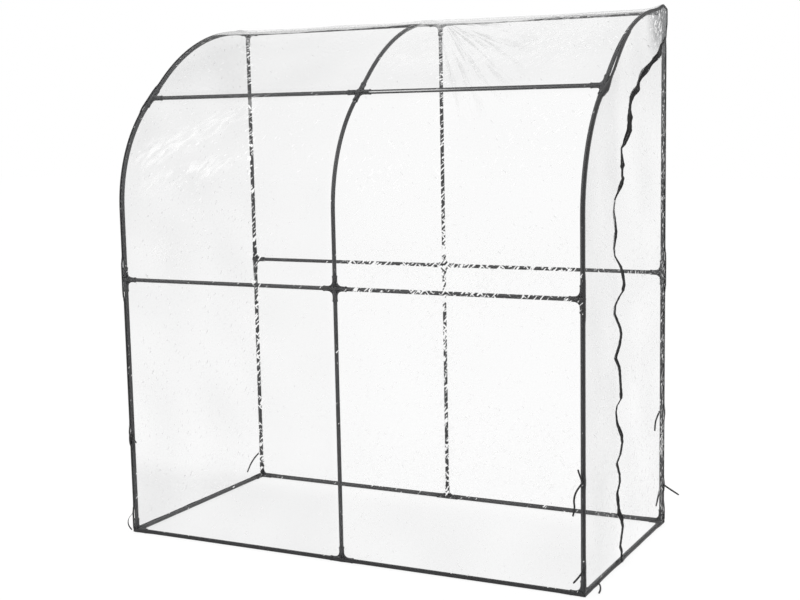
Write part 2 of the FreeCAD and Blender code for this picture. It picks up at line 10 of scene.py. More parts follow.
import bmesh
import bpy
import numpy as np
from mathutils import Matrix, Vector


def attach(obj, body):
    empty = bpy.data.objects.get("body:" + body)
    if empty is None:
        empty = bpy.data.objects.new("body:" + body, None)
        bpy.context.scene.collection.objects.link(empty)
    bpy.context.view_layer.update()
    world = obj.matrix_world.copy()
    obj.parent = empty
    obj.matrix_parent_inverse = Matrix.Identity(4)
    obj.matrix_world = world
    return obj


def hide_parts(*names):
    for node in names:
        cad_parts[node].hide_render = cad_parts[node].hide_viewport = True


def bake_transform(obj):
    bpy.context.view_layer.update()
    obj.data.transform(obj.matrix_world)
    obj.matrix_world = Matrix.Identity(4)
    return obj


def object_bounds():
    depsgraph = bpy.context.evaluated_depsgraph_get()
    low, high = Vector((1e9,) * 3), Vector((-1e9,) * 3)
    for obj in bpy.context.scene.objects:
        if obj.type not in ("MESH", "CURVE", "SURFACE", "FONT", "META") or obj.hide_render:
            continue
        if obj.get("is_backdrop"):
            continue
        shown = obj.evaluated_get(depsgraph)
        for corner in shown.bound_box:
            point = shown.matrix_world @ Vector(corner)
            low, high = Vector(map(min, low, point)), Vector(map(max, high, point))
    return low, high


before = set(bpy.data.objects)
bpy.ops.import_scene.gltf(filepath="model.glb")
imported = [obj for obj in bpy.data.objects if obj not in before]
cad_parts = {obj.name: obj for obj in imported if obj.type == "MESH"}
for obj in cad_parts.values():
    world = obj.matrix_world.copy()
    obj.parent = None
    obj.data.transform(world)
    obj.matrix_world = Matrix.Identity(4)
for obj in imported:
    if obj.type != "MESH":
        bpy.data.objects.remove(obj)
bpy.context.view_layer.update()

# %% [markdown]
# ## Sizes
# Metres, with X along the wall, Y towards it and Z up. They are the real sizes of the object: 16 mm tubes,
# sockets a little thicker, and film that hangs just outside the sockets' collars. The roof's slope is given
# from upright, and its two bends end 55 mm from the joints beside them.

# %% Sizes of the frame
HALF_WIDTH = 0.99
FRONT, REAR = -0.49, 0.49
SOLE = 0.009
FRONT_RAIL, REAR_RAIL, RIDGE = 1.074, 1.062, 2.113
SLOPE = math.radians(48.9)
PURLIN_IN, PURLIN_DROP, BEND_END = 0.232, 0.298, 0.055
PURLIN = np.array([FRONT + PURLIN_IN, RIDGE - PURLIN_DROP])
ROOF_UP = np.array([math.sin(SLOPE), math.cos(SLOPE)])
FRONT_CORNER = np.array([FRONT, PURLIN[1] - PURLIN_IN / math.tan(SLOPE)])
ROOF_CORNER = PURLIN + ROOF_UP * PURLIN_DROP / math.cos(SLOPE)
LOWER_CUT = np.linalg.norm(PURLIN - FRONT_CORNER) - BEND_END
UPPER_CUT = REAR - ROOF_CORNER[0] - BEND_END
TUBE_RADIUS, TUBE_WALL, TUBE_END = 0.008, 0.0006, 0.0132
FILM_THICKNESS, FILM_OUT, FILM_FOOT = 0.0003, 0.0121, 0.004
END_X = HALF_WIDTH + FILM_OUT
ZIP_Y, HINGE_Y, ZIP_TOP = -0.085, 0.480, 2.009

# %% [markdown]
# ## Camera
# The photograph was taken from the front right, a little above the middle of the roof and looking slightly
# down. A camera fitted to the frame's joints gives the place, the turn and the lens used here.

# %% Camera
EYE = (2.587, -5.027, 1.7135)
RIGHT = np.array([0.89213, 0.45135, -0.01947])
DOWN = np.array([0.04179, -0.12536, -0.99123])
LOOK = np.array([-0.44984, 0.88350, -0.13070])


def put(name, data):
    """A new object in the scene, at the origin."""
    made = bpy.data.objects.new(name, data)
    bpy.context.collection.objects.link(made)
    return made


def aim(name, data, sides, place):
    """A camera or a lamp at a place, with the given sides as its X, Y and Z. It looks along -Z."""
    matrix = np.eye(4)
    matrix[:3] = np.column_stack([*sides, place])
    made = put(name, data)
    made.matrix_world = Matrix(matrix.tolist())
    return made


eye = bpy.data.cameras.new("camera")
eye.lens, eye.sensor_width = 62.17, 36.0
bpy.context.scene.camera = aim("camera", eye, (RIGHT, -DOWN, -LOOK), EYE)
bpy.context.scene.view_settings.view_transform = "Standard"

# %% [markdown]
# ## Nodes
# A hex colour is what a paint chart gives. The shader wants linear light, so one function turns it round.
# One class adds nodes with their settings and links, which keeps each material short.

# %% Colours and nodes
def linear(hex_colour):
    """An sRGB hex as linear red, green, blue and 1. Each channel c is ((c + 0.055) / 1.055) ** 2.4."""
    channels = np.array([int(hex_colour[i:i + 2], 16) / 255 for i in (1, 3, 5)])
    light = np.where(channels <= 0.04045, channels / 12.92, ((channels + 0.055) / 1.055) ** 2.4)
    return (*light.tolist(), 1.0)


def grey(level):
    return (level, level, level, 1.0)


class Nodes:
    """A tree of shader nodes with its output, and short names for what the materials are made of."""

    def __init__(self, tree, output="Material"):
        tree.nodes.clear()
        self.tree, self.out = tree, tree.nodes.new("ShaderNodeOutput" + output)

    def add(self, kind, settings=(), links=()):
        """Adds a node and gives its outputs. Settings are properties or socket values."""
        new = self.tree.nodes.new("ShaderNode" + kind)
        for name, value in dict(settings).items():
            if isinstance(name, str) and hasattr(new, name):
                setattr(new, name, value)
            else:
                new.inputs[name].default_value = value
        for name, source in dict(links).items():
            self.tree.links.new(source, new.inputs[name])
        return new.outputs

    def math(self, operation, *given, clamp=False):
        """One operation on numbers and outputs of other nodes."""
        numbers = {slot: value for slot, value in enumerate(given) if isinstance(value, (int, float))}
        links = {slot: value for slot, value in enumerate(given) if slot not in numbers}
        return self.add("Math", {"operation": operation, "use_clamp": clamp, **numbers}, links)[0]

    def chain(self, operation, first, *others):
        """One operation carried through several values."""
        for other in others:
            first = self.math(operation, first, other)
        return first

    def ramp(self, source, *stops):
        """A ramp of greys through (position, grey) stops."""
        out = self.add("ValToRGB", links={"Fac": source})[0]
        elements = out.node.color_ramp.elements
        while len(elements) < len(stops):
            elements.new(0.5)
        for element, (position, level) in zip(elements, stops):
            element.position = position
            element.color = grey(level)
        return out

    def noise(self, where, scale, detail, roughness=0.5, warp=0.0):
        settings = {"Scale": scale, "Detail": detail, "Roughness": roughness, "Distortion": warp}
        return self.add("TexNoise", settings, {"Vector": where})[0]

    def between(self, share, dark, light):
        """A colour between two hexes."""
        return self.add("Mix", {"data_type": "RGBA", 6: linear(dark), 7: linear(light)}, {0: share})[2]

    def bump(self, height, strength, distance):
        return self.add("Bump", {"Strength": strength, "Distance": distance}, {"Height": height})[0]

    def end(self, kind, settings=(), links=()):
        """Adds the shader that the output shows."""
        self.tree.links.new(self.add(kind, settings, links)[0], self.out.inputs[0])

    def seen(self):
        """1 for the rays that end in the picture: straight, by way of a gloss, or through a clear piece."""
        path = self.add("LightPath")
        kinds = ("Camera", "Glossy", "Transmission")
        return self.chain("MAXIMUM", *[path[f"Is {kind} Ray"] for kind in kinds])


def new_material(name, kind=Nodes):
    """An empty material and its tree."""
    material = bpy.data.materials.new(name)
    material.use_nodes = True
    return material, kind(material.node_tree)


# %% [markdown]
# ## Floor and light
# A product photograph of clear film is lit all round by white walls. The world is that white room, and one
# large soft lamp from the front left and one from the right give the tubes their light and dark sides.
# The floor glows white to the camera and keeps a small share of its own shade, so that the object's shadow
# shows. For the light that it throws back on the object it is a plain matt floor.

# %% Floor, world and lamps
def make_floor(size=30.0):
    """A square of floor, most of it glow and a sixth of it shade to the camera."""
    mesh = bpy.data.meshes.new("floor")
    corners = [(-size, -size, 0), (size, -size, 0), (size, size, 0), (-size, size, 0)]
    mesh.from_pydata(corners, [], [(0, 1, 2, 3)])
    material, nodes = new_material("matt white studio floor")
    shade = nodes.add("BsdfDiffuse", {"Color": grey(0.16)})[0]
    glow = nodes.add("Emission", {"Color": grey(1), "Strength": 0.87})[0]
    both = nodes.add("AddShader", links={0: shade, 1: glow})[0]
    plain = nodes.add("BsdfDiffuse", {"Color": grey(0.8)})[0]
    nodes.end("MixShader", links={0: nodes.seen(), 1: plain, 2: both})
    mesh.materials.append(material)
    put("floor", mesh)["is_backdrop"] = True


def make_world():
    """White to the camera, and a little less in the light that it gives."""
    world = bpy.data.worlds.new("white studio")
    bpy.context.scene.world = world
    world.use_nodes = True
    nodes = Nodes(world.node_tree, "World")
    light, seen = (nodes.add("Background", {"Color": grey(1), "Strength": share})[0] for share in (0.84, 1.0))
    nodes.end("MixShader", links={0: nodes.seen(), 1: light, 2: seen})


def make_lamp(name, place, size, watts):
    """A square lamp that is aimed at the object, 1 m above the ground."""
    lamp = bpy.data.lights.new(name, "AREA")
    lamp.size, lamp.energy = size, watts
    back = np.array(place) - np.array([0, 0, 1])
    back = back / np.linalg.norm(back)
    side = np.cross([0, 0, 1], back)
    side = side / np.linalg.norm(side)
    aim(name, lamp, (side, np.cross(back, side), back), place)


make_floor()
make_world()
make_lamp("front left lamp", (-3.2, -4.2, 4.4), 2.6, 75)
make_lamp("right lamp", (4.2, -1.6, 3.2), 2.2, 35)

# %% [markdown]
# ## Surfaces
# Every new piece is a surface worked out as arrays. A grid of points becomes quads, a line carried round a
# circle becomes a tube, and a profile turned round an axis becomes a sleeve.

# %% Mesh helpers
def grid_faces(rows, columns, wrap_columns=False, wrap_rows=False):
    """Quads over a grid of points, each made of two neighbours in a row and the two in the next row."""
    index = np.arange(rows * columns).reshape(rows, columns)
    if wrap_columns:
        index = np.concatenate([index, index[:, :1]], axis=1)
    if wrap_rows:
        index = np.concatenate([index, index[:1]], axis=0)
    quads = [index[:-1, :-1], index[:-1, 1:], index[1:, 1:], index[1:, :-1]]
    return np.stack(quads, axis=-1).reshape(-1, 4)


class Shells:
    """Points and faces of the shells that make one piece."""

    def __init__(self):
        self.points, self.faces, self.count = [], [], 0

    def take(self, points, faces):
        """Adds one shell, whose faces count its own points from 0."""
        points = np.asarray(points, float).reshape(-1, 3)
        self.points.append(points)
        self.faces.extend([[self.count + i for i in face] for face in faces])
        self.count += len(points)

    def rings(self, rings, wrap_rows=False):
        """Adds rings of points, joined one to the next. The first and last are capped, or joined too."""
        rows, columns = rings.shape[:2]
        faces = grid_faces(rows, columns, wrap_columns=True, wrap_rows=wrap_rows).tolist()
        if not wrap_rows:
            faces.append(list(range(columns))[::-1])
            faces.append(list(range((rows - 1) * columns, rows * columns)))
        self.take(rings, faces)

    def piece(self, name, material, nodes=(), body="frame_and_cover"):
        """Makes the piece, with its faces turned outward."""
        mesh = bpy.data.meshes.new(name)
        mesh.from_pydata(np.concatenate(self.points).tolist(), [], self.faces)
        shell = bmesh.new()
        shell.from_mesh(mesh)
        bmesh.ops.recalc_face_normals(shell, faces=shell.faces)
        shell.to_mesh(mesh)
        shell.free()
        mesh.shade_smooth()
        mesh.materials.append(material)
        made = put(name, mesh)
        if body:
            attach(made, body)
        if nodes:
            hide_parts(*nodes)
        return made


def unit(vectors):
    """The same directions, each made one long."""
    return vectors / np.linalg.norm(vectors, axis=-1, keepdims=True)


def circle(first, second, sides):
    """Circles of radius 1 that pairs of square directions span: cos a * first + sin a * second."""
    angle = np.linspace(0, 2 * np.pi, sides, endpoint=False)[:, None]
    return np.cos(angle) * first[..., None, :] + np.sin(angle) * second[..., None, :]


def tube_rings(path, radius, sides, beside):
    """Circles square to a path, which start at the side nearest to a given direction."""
    path = np.asarray(path, float)
    along = unit(np.gradient(path, axis=0))
    beside = np.broadcast_to(np.asarray(beside, float), path.shape)
    first = unit(beside - along * np.sum(along * beside, axis=1, keepdims=True))
    radius = np.broadcast_to(radius, (len(path),))[:, None, None]
    return path[:, None] + radius * circle(first, np.cross(along, first), sides)


def turned_rings(profile, foot, axis, sides):
    """A profile of (radius, height) pairs turned round an axis from a foot."""
    axis = unit(np.asarray(axis, float))
    first = unit(np.cross(axis, [0.0, 0.0, 1.0] if abs(axis[2]) < 0.9 else [1.0, 0.0, 0.0]))
    profile = np.asarray(profile, float)[..., None]
    return foot + profile[:, :1] * circle(first, np.cross(axis, first), sides) + profile[:, 1:] * axis


# %% [markdown]
# ## Finishes
# The tubes are steel with a dark grey powder coat: melted grains leave a fine orange peel and a satin
# gloss. The joints are moulded polypropylene, a little darker and more matt, with a fine spark-eroded grain.

# %% Powder coat and moulded plastic
def painted(name, dark, light, roughness, grain, depth, patch=6.0):
    """A plain coat: colour drifts between two hexes in soft patches, and a fine grain bumps the surface."""
    material, nodes = new_material(name)
    where = nodes.add("TexCoord")["Object"]
    patches = nodes.ramp(nodes.noise(where, patch, 4.0), (0.35, 0.0), (0.65, 1.0))
    fine = nodes.noise(where, grain, 2.0)
    gloss = nodes.ramp(fine, (0.3, roughness - 0.06), (0.7, roughness + 0.08))
    nodes.end("BsdfPrincipled", {"IOR": 1.5}, {"Base Color": nodes.between(patches, dark, light),
                                               "Roughness": gloss, "Normal": nodes.bump(fine, 0.5, depth)})
    return material


powder_coat = painted("dark grey powder coat on steel", "#323233", "#3d3d3e", 0.42, 900.0, 0.00012)
polypropylene = painted("moulded grey polypropylene", "#323233", "#3b3b3c", 0.55, 1400.0, 0.00010)
zinc_enamel = painted("black enamel on die cast zinc", "#1d1d1e", "#29292a", 0.28, 1600.0, 0.00005, 90.0)
nylon_teeth = painted("black moulded nylon teeth", "#161617", "#202021", 0.40, 2000.0, 0.00004, 60.0)
thread = painted("black sewing thread", "#2a2a2b", "#3c3c3d", 0.6, 3000.0, 0.00003, 300.0)

# %% [markdown]
# ## Woven tape
# The seams, the hem, the zip and the ties are woven polyester tape. Its threads are 0.6 mm apart, which is
# finer than the picture shows, so the weave is drawn at 1.2 mm. It follows the tape's own length and width,
# which each tape keeps in its UV map in metres.

# %% Woven polyester
def woven(name, dark, light, sheen=0.25, ior=1.5, thread_gap=0.0012):
    """Two sets of threads at right angles: the product of two sine waves in the tape's own coordinates."""
    material, nodes = new_material(name)
    split = nodes.add("SeparateXYZ", links={0: nodes.add("UVMap", {"uv_map": "metres"})[0]})
    turns = [nodes.math("MULTIPLY", split[axis], 2 * math.pi / thread_gap) for axis in (0, 1)]
    weave = nodes.math("MULTIPLY", *[nodes.math("SINE", turn) for turn in turns])
    height = nodes.ramp(nodes.math("MULTIPLY_ADD", weave, 0.5, 0.5), (0.1, 0.0), (0.9, 1.0))
    drift = nodes.noise(nodes.add("TexCoord")["Object"], 25.0, 5.0)
    tone = nodes.between(nodes.math("MULTIPLY", height, drift), dark, light)
    nodes.end("BsdfPrincipled",
              {"Roughness": 0.78, "IOR": ior, "Sheen Weight": sheen, "Sheen Roughness": 0.4},
              {"Base Color": tone, "Normal": nodes.bump(height, 0.6, 0.0002)})
    return material


binding_weave = woven("black woven polyester binding", "#1b1b1c", "#3a3a3b")
zip_weave = woven("black woven zip tape", "#0e0e0f", "#222223", 0.05, 1.35)
tie_weave = woven("black narrow woven tie", "#161617", "#303031")

# %% [markdown]
# ## Clear film
# The cover is clear soft PVC film. It lets nearly all light through, so its look is in what it doesn't let
# through. Alpha carries all of that:
#
# - a faint grey, the film's own tint with painted shade in it, from the haze and shade kept on the sheet
# - painted glints: white flecks on small sharp creases, which break up the dark tubes behind. The more
#   creased a place is marked, the lower the threshold above which its noise turns into a fleck
# - softer painted highlights on the folds of the pack, where the sheet is marked for them
# - painted highlights on a fan of creases from the middle ridge joint and on the purlin, and a painted
#   reflection of the white sky below the ridge

# %% Clear film
class FilmNodes(Nodes):
    """The film's tree, with the patterns that its white is made of. Heights are runs along the sheet."""

    def __init__(self, tree):
        super().__init__(tree)
        self.where = self.add("UVMap", {"uv_map": "metres"})[0]
        split = self.add("SeparateXYZ", links={0: self.where})
        self.across, self.along = split[0], split[1]

    def streaks(self, scale, turn, stretch, detail, warp, vector=None):
        """Noise in streaks, 1 / scale metres wide, stretch times as long, and turned by an angle."""
        settings = {"vector_type": "TEXTURE", "Rotation": (0, 0, turn), "Scale": (1, stretch, 1)}
        turned = self.add("Mapping", settings, {"Vector": vector or self.where})[0]
        return self.noise(turned, scale, detail, 0.55, warp)

    def kept(self, name):
        """A value kept on the points of the sheet."""
        return self.add("Attribute", {"attribute_name": name})["Fac"]

    def fan(self, height):
        """Painted highlights on creases that run out from the middle ridge joint: noise of the angle round
        it.
        """
        below = self.math("SUBTRACT", height, self.along)
        angle = self.math("ARCTAN2", below, self.across)
        squares = [self.math("MULTIPLY", side, side) for side in (below, self.across)]
        far = self.math("SQRT", self.math("ADD", *squares))
        polar = self.add("CombineXYZ", links={0: angle, 1: self.math("MULTIPLY", far, 0.8)})[0]
        rays = self.ramp(self.streaks(9.0, 0.0, 2.0, 2.0, 0.0, polar), (0.50, 0.0), (0.64, 0.42))
        reach = self.ramp(far, (0.02, 0.0), (0.06, 1.0), (0.22, 1.0), (0.48, 0.0))
        return self.chain("MULTIPLY", rays, reach, self.ramp(self.across, (0.0, 0.0), (0.05, 1.0)))

    def gleam(self, height):
        """A painted highlight: the bright line where the sheet lies on the right purlin, brightest near the
        middle frame.
        """
        aside = self.math("ABSOLUTE", self.math("SUBTRACT", self.along, height))
        line = self.ramp(aside, (0.0, 0.62), (0.0016, 0.62), (0.0030, 0.0))
        share = self.ramp(self.across, (0.05, 0.0), (0.06, 1.0), (0.28, 1.0), (0.45, 0.2), (0.94, 0.0))
        return self.math("MULTIPLY", line, share)

    def glare(self, start, length=0.26, edge=60.0):
        """A painted reflection of the white sky that the sheet mirrors where the roof turns level, just
        before the ridge.
        """
        rise = self.math("MULTIPLY", self.math("SUBTRACT", self.along, start), edge, clamp=True)
        fade = self.math("MULTIPLY", self.math("SUBTRACT", start + length, self.along), edge, clamp=True)
        share = self.ramp(self.across, (0.0, 0.42), (0.03, 0.58), (0.45, 0.58), (0.70, 0.30))
        return self.chain("MULTIPLY", rise, fade, share)


def film_material(name, ridge_run, purlin_run, level_run):
    """Alpha is 1 - (1 - white)(1 - tint), and the colour is white in the share of it that is white. White is
    painted light.
    """
    material, film = new_material(name, FilmNodes)
    # Painted glints: white flecks on the creases, more of them where the sheet is marked as more creased.
    lift = film.math("MULTIPLY_ADD", film.kept("crease_glints"), 0.24, -0.24)
    nicks = film.math("ADD", film.streaks(135.0, -0.75, 4.5, 1.5, 0.2), lift)
    cross = film.math("ADD", film.streaks(115.0, 0.85, 4.0, 1.5, 0.2), lift)
    glint_flecks = film.math("MAXIMUM", film.ramp(nicks, (0.480, 0.0), (0.505, 0.97)),
                       film.ramp(cross, (0.540, 0.0), (0.565, 0.97)))
    # Painted highlights: soft white wisps on the folds of the pack.
    folds = film.ramp(film.streaks(42.0, -0.80, 3.0, 3.0, 0.5), (0.45, 0.0), (0.66, 0.64))
    highlight_wisps = film.math("MULTIPLY", folds, film.kept("fold_highlights"))
    lines = (film.fan(ridge_run), film.gleam(purlin_run), film.glare(level_run))
    # White is painted light: glints, highlights and a reflection.
    white = film.chain("MAXIMUM", glint_flecks, highlight_wisps, *lines)
    # The tint is the film's faint grey, with painted shade where the haze and shade mark is thick.
    tint = film.math("MULTIPLY_ADD", film.kept("haze_and_shade"), 0.10, 0.006)
    clear = film.math("MULTIPLY", film.math("SUBTRACT", 1.0, white), film.math("SUBTRACT", 1.0, tint))
    alpha = film.math("SUBTRACT", 1.0, clear, clamp=True)
    share = film.math("DIVIDE", white, film.math("MAXIMUM", alpha, 0.001), clamp=True)
    film.end("BsdfPrincipled", {"Roughness": 0.25, "IOR": 1.53},
             {"Base Color": film.between(share, "#6f7173", "#ffffff"), "Alpha": alpha,
              "Normal": film.bump(white, 0.2, 0.0005)})
    return material

# %% [markdown]
# ## The side line
# Frame and cover share one side view: up the front, over two bends, level to the ridge and down the back.
# The same line is worked out at any distance outside the tubes, always with the same number of points, so
# that film, seam tape and stitches can be matched point by point. A run is a distance along this line.

# %% Side line
def corner_arc(before, corner, after, cut, count):
    """A tangent arc that rounds a corner: start and end swung into each other about the arc's centre."""
    first, last = unit(before - corner), unit(after - corner)
    half = math.acos(float(first @ last)) / 2
    centre = corner + unit(first + last) * cut / math.cos(half)
    turn = math.pi - 2 * half
    share = np.linspace(0, 1, count)[:, None]
    spokes = (np.sin((1 - share) * turn) * (corner + first * cut - centre)
              + np.sin(share * turn) * (corner + last * cut - centre)) / math.sin(turn)
    return centre + spokes


def straight(start, end, count):
    """Evenly spaced points from start to end."""
    return start + (end - start) * np.linspace(0, 1, count)[:, None]


FRONT_COUNT, ROOF_COUNT, LEVEL_COUNT, BACK_COUNT = 86, 8, 8, 132
LOW_COUNT, HIGH_COUNT, FOLD_COUNT = 34, 56, 7


def side_line(offset, foot=FILM_FOOT):
    """The cover's (y, z) line at an offset from the tube centres: straights and arcs one after another."""
    lower, upper = offset * math.tan(SLOPE / 2), offset * math.tan((math.pi / 2 - SLOPE) / 2)
    front_foot = np.array([FRONT - offset, foot])
    front_corner = FRONT_CORNER + [-offset, lower]
    roof_corner = np.array([ROOF_CORNER[0] - upper, RIDGE + offset])
    rear_top = np.array([REAR + offset, RIDGE + offset])
    rear_foot = np.array([REAR + offset, foot])
    low = corner_arc(front_foot, front_corner, roof_corner, LOWER_CUT + lower, LOW_COUNT)
    high = corner_arc(front_corner, roof_corner, rear_top, UPPER_CUT + upper, HIGH_COUNT)
    fold = corner_arc(roof_corner, rear_top, rear_foot, max(offset / 2, 0.0002), FOLD_COUNT)
    return np.concatenate([straight(front_foot, low[0], FRONT_COUNT)[:-1], low,
                           straight(low[-1], high[0], ROOF_COUNT)[1:-1], high,
                           straight(high[-1], fold[0], LEVEL_COUNT)[1:-1], fold,
                           straight(fold[-1], rear_foot, BACK_COUNT)[1:]])


def line_length(line):
    """The distance along a line at each of its points, the running sum of its steps."""
    steps = np.linalg.norm(np.diff(line, axis=0), axis=1)
    return np.concatenate([[0.0], np.cumsum(steps)])


def run_at(height):
    """The run at which the front or the roof of the cover reaches a height."""
    return float(np.interp(height, SIDE[:RIDGE_INDEX, 1], SIDE_LENGTH[:RIDGE_INDEX]))


SIDE = side_line(FILM_OUT)
SIDE_LENGTH = line_length(SIDE)
WHOLE_RUN = float(SIDE_LENGTH[-1])
RIDGE_INDEX = int(np.argmax(SIDE[:, 1] > RIDGE + FILM_OUT - 1e-6))
print("the cover's side line is", round(WHOLE_RUN, 3), "m long, with", len(SIDE), "points")

# %% [markdown]
# ## Tubes
# Each tube is a steel wall 0.6 mm thick. Its outer circle is carried along the path and the inner circle is
# carried back, which closes the wall at both ends without a cap. The tubes stop inside their sockets.

# %% Tubes
SIDES = {"left": -HALF_WIDTH, "centre": 0.0, "right": HALF_WIDTH}
RAILS = {"front_base_rail": (FRONT, SOLE), "rear_base_rail": (REAR, SOLE),
         "front_mid_rail": (FRONT, FRONT_RAIL), "rear_mid_rail": (REAR, REAR_RAIL),
         "purlin": tuple(PURLIN), "ridge_rail": (REAR, RIDGE)}
POSTS = {"front_post": (FRONT, SOLE, FRONT_RAIL), "rear_lower_post": (REAR, SOLE, REAR_RAIL),
         "rear_upper_post": (REAR, REAR_RAIL, RIDGE)}


def tube(shells, path, beside):
    """A hollow tube: rings out along the path at the outer radius, and back at the inner one."""
    outside = tube_rings(path, TUBE_RADIUS, 28, beside)
    inside = tube_rings(path, TUBE_RADIUS - TUBE_WALL, 28, beside)[::-1]
    shells.rings(np.concatenate([outside, inside]), wrap_rows=True)


def straight_tube(name, start, end):
    """A tube between two joints, short of both by the depth of its sockets."""
    start, end = np.array(start, float), np.array(end, float)
    along = unit(end - start)
    shells = Shells()
    path = straight(start + along * TUBE_END, end - along * TUBE_END, 24)
    tube(shells, path, (0, 0, 1) if abs(along[2]) < 0.9 else (1, 0, 0))
    shells.piece(name + "_tube", powder_coat, [name])


def arch_tubes(name, start, corner, end, cut):
    """Three bent tubes, one on each frame: a straight end, a tangent arc and a straight end."""
    first = start + unit(corner - start) * TUBE_END
    last = end + unit(corner - end) * TUBE_END
    arc = corner_arc(first, corner, last, cut, 30)
    line = np.concatenate([straight(first, arc[0], 6)[:-1], arc, straight(arc[-1], last, 6)[1:]])
    shells = Shells()
    for x in SIDES.values():
        tube(shells, np.column_stack([np.full(len(line), x), line]), (1, 0, 0))
    shells.piece(name + "_bent", powder_coat, [name])


for side, x in SIDES.items():
    for post, (y, low, high) in POSTS.items():
        straight_tube(f"{post}_{side}", (x, y, low), (x, y, high))
for side, x in (("left", -HALF_WIDTH), ("right", HALF_WIDTH)):
    for rail, (y, z) in RAILS.items():
        straight_tube(f"{rail}_{side}", (x, y, z), (0, y, z))
    straight_tube("side_base_rail_" + side, (x, FRONT, SOLE), (x, REAR, SOLE))
arch_tubes("lower_arch_tubes", np.array([FRONT, FRONT_RAIL]), FRONT_CORNER, PURLIN, LOWER_CUT)
arch_tubes("upper_arch_tubes", PURLIN, ROOF_CORNER, np.array([REAR, RIDGE]), UPPER_CUT)

# %% [markdown]
# ## Sockets
# Each joint is one moulding: a sleeve for each tube with a thicker collar at its mouth, a rounded hub, and
# a web in each square corner that stops the joint from folding. A sleeve is a profile turned round its arm.
# The joints that stand on the ground are pressed flat where they meet it.

# %% Sockets
SLEEVE = [(0.0098, 0.0), (0.0098, 0.0425), (0.0101, 0.0436), (0.0107, 0.0443), (0.0108, 0.0450),
          (0.0108, 0.0488), (0.0105, 0.0496), (0.0099, 0.0500), (0.0088, 0.0500), (0.0083, 0.0497),
          (0.0081, 0.0490), (0.0081, 0.0130)]
HUB = [(0.0050, -0.0108), (0.0086, -0.0105), (0.0102, -0.0096), (0.0108, -0.0080), (0.0108, 0.0080),
       (0.0102, 0.0096), (0.0086, 0.0105), (0.0050, 0.0108)]
SLEEVE_RADIUS, WEB_REACH, WEB_HALF, WEB_ROOT, WEB_EDGE = 0.0098, 0.036, 0.0022, 0.002, 0.0006


def web(centre, first, second):
    """A plate whose free edge is a hollow curve between two sleeves: a quarter of a superellipse."""
    swing = np.linspace(0, math.pi / 2, 12)
    hollows = [SLEEVE_RADIUS + (WEB_REACH - SLEEVE_RADIUS) * (1 - side ** 0.75)
               for side in (np.sin(swing), np.cos(swing))]
    outline_a = np.concatenate([[WEB_ROOT, WEB_REACH], hollows[0], [WEB_ROOT]])
    outline_b = np.concatenate([[WEB_ROOT, WEB_ROOT], hollows[1], [WEB_REACH]])
    rings = []
    for level, inset in ((-1.0, WEB_EDGE), (-0.75, 0.0), (0.75, 0.0), (1.0, WEB_EDGE)):
        flat = centre + (outline_a - inset)[:, None] * first + (outline_b - inset)[:, None] * second
        rings.append(flat + np.cross(first, second) * WEB_HALF * level)
    return np.array(rings)


def socket(shells, centre, arms):
    """One joint: its hub, a sleeve on each arm, and a web between arms that stand square to each other."""
    centre = np.array(centre, float)
    arms = [np.array(arm, float) for arm in arms]
    shells.rings(turned_rings(HUB, centre, arms[0], 28))
    for arm in arms:
        shells.rings(turned_rings(SLEEVE, centre, arm, 28))
    for index, first in enumerate(arms):
        for second in arms[index + 1:]:
            if abs(first @ second) < 0.5:
                shells.rings(web(centre, first, second))


def socket_row(name, places, frames=("left", "centre", "right")):
    """The joints of one node, at (y, z, arms) on each frame. Rails leave a frame to its free sides."""
    rails = {"left": [(1, 0, 0)], "centre": [(-1, 0, 0), (1, 0, 0)], "right": [(-1, 0, 0)]}
    shells = Shells()
    for y, z, arms in places:
        for frame_side in frames:
            socket(shells, (SIDES[frame_side], y, z), rails[frame_side] + arms)
    for points in shells.points:
        points[:, 2] = np.maximum(points[:, 2], 0.0)
    shells.piece(name[:-1] + "_moulding", polypropylene, [name])


UP, DOWN, BACKWARD, FORWARD = (0, 0, 1), (0, 0, -1), (0, 1, 0), (0, -1, 0)
ROOF_ARMS = [(0.0, *ROOF_UP), (0.0, *(-ROOF_UP))]
socket_row("base_corner_connectors", [(FRONT, SOLE, [BACKWARD, UP]), (REAR, SOLE, [FORWARD, UP])],
           ("left", "right"))
socket_row("base_middle_connectors", [(FRONT, SOLE, [UP]), (REAR, SOLE, [UP])], ("centre",))
socket_row("front_mid_connectors", [(FRONT, FRONT_RAIL, [UP, DOWN])])
socket_row("rear_mid_connectors", [(REAR, REAR_RAIL, [UP, DOWN])])
socket_row("purlin_connectors", [(*PURLIN, ROOF_ARMS)])
socket_row("ridge_connectors", [(REAR, RIDGE, [FORWARD, DOWN])])

# %% [markdown]
# ## Film: folds
# The cover is loose film, so it is never flat. Broad billows are sums of sine waves in many directions, and
# die out where the film lies on a tube. The zip's tape is shorter than the film it is sewn to, so it
# puckers in and out all the way up, which in the picture makes it wander like a river. It also leans to
# one side and the other, so that it is seen edge on in places.

# %% Folds of the film
def billow(u, v, length, seed, count=9):
    """A sum of plane waves of about one length, each with its own direction and phase."""
    dice = np.random.default_rng(seed)
    total = np.zeros(np.broadcast(u, v).shape)
    for _ in range(count):
        heading, phase = dice.uniform(0, 2 * math.pi, 2)
        scale = 2 * math.pi / (length * dice.uniform(0.7, 1.5))
        total = total + np.sin(scale * (u * math.cos(heading) + v * math.sin(heading)) + phase)
    return total / math.sqrt(count)


def smooth(value, low, high):
    """0 below low, 1 above high, and the soft step 3t^2 - 2t^3 between."""
    share = np.clip((value - low) / (high - low), 0, 1)
    return share * share * (3 - 2 * share)


def hump(value, centre, width):
    """A bell round the centre: exp(-((value - centre) / width)^2)."""
    return np.exp(-((value - centre) / width) ** 2)


def clear_of(value, places, width):
    """0 on each place and 1 away from all of them: 1 less a bell, multiplied over the places."""
    return math.prod([1 - hump(value, spot, width) for spot in places])


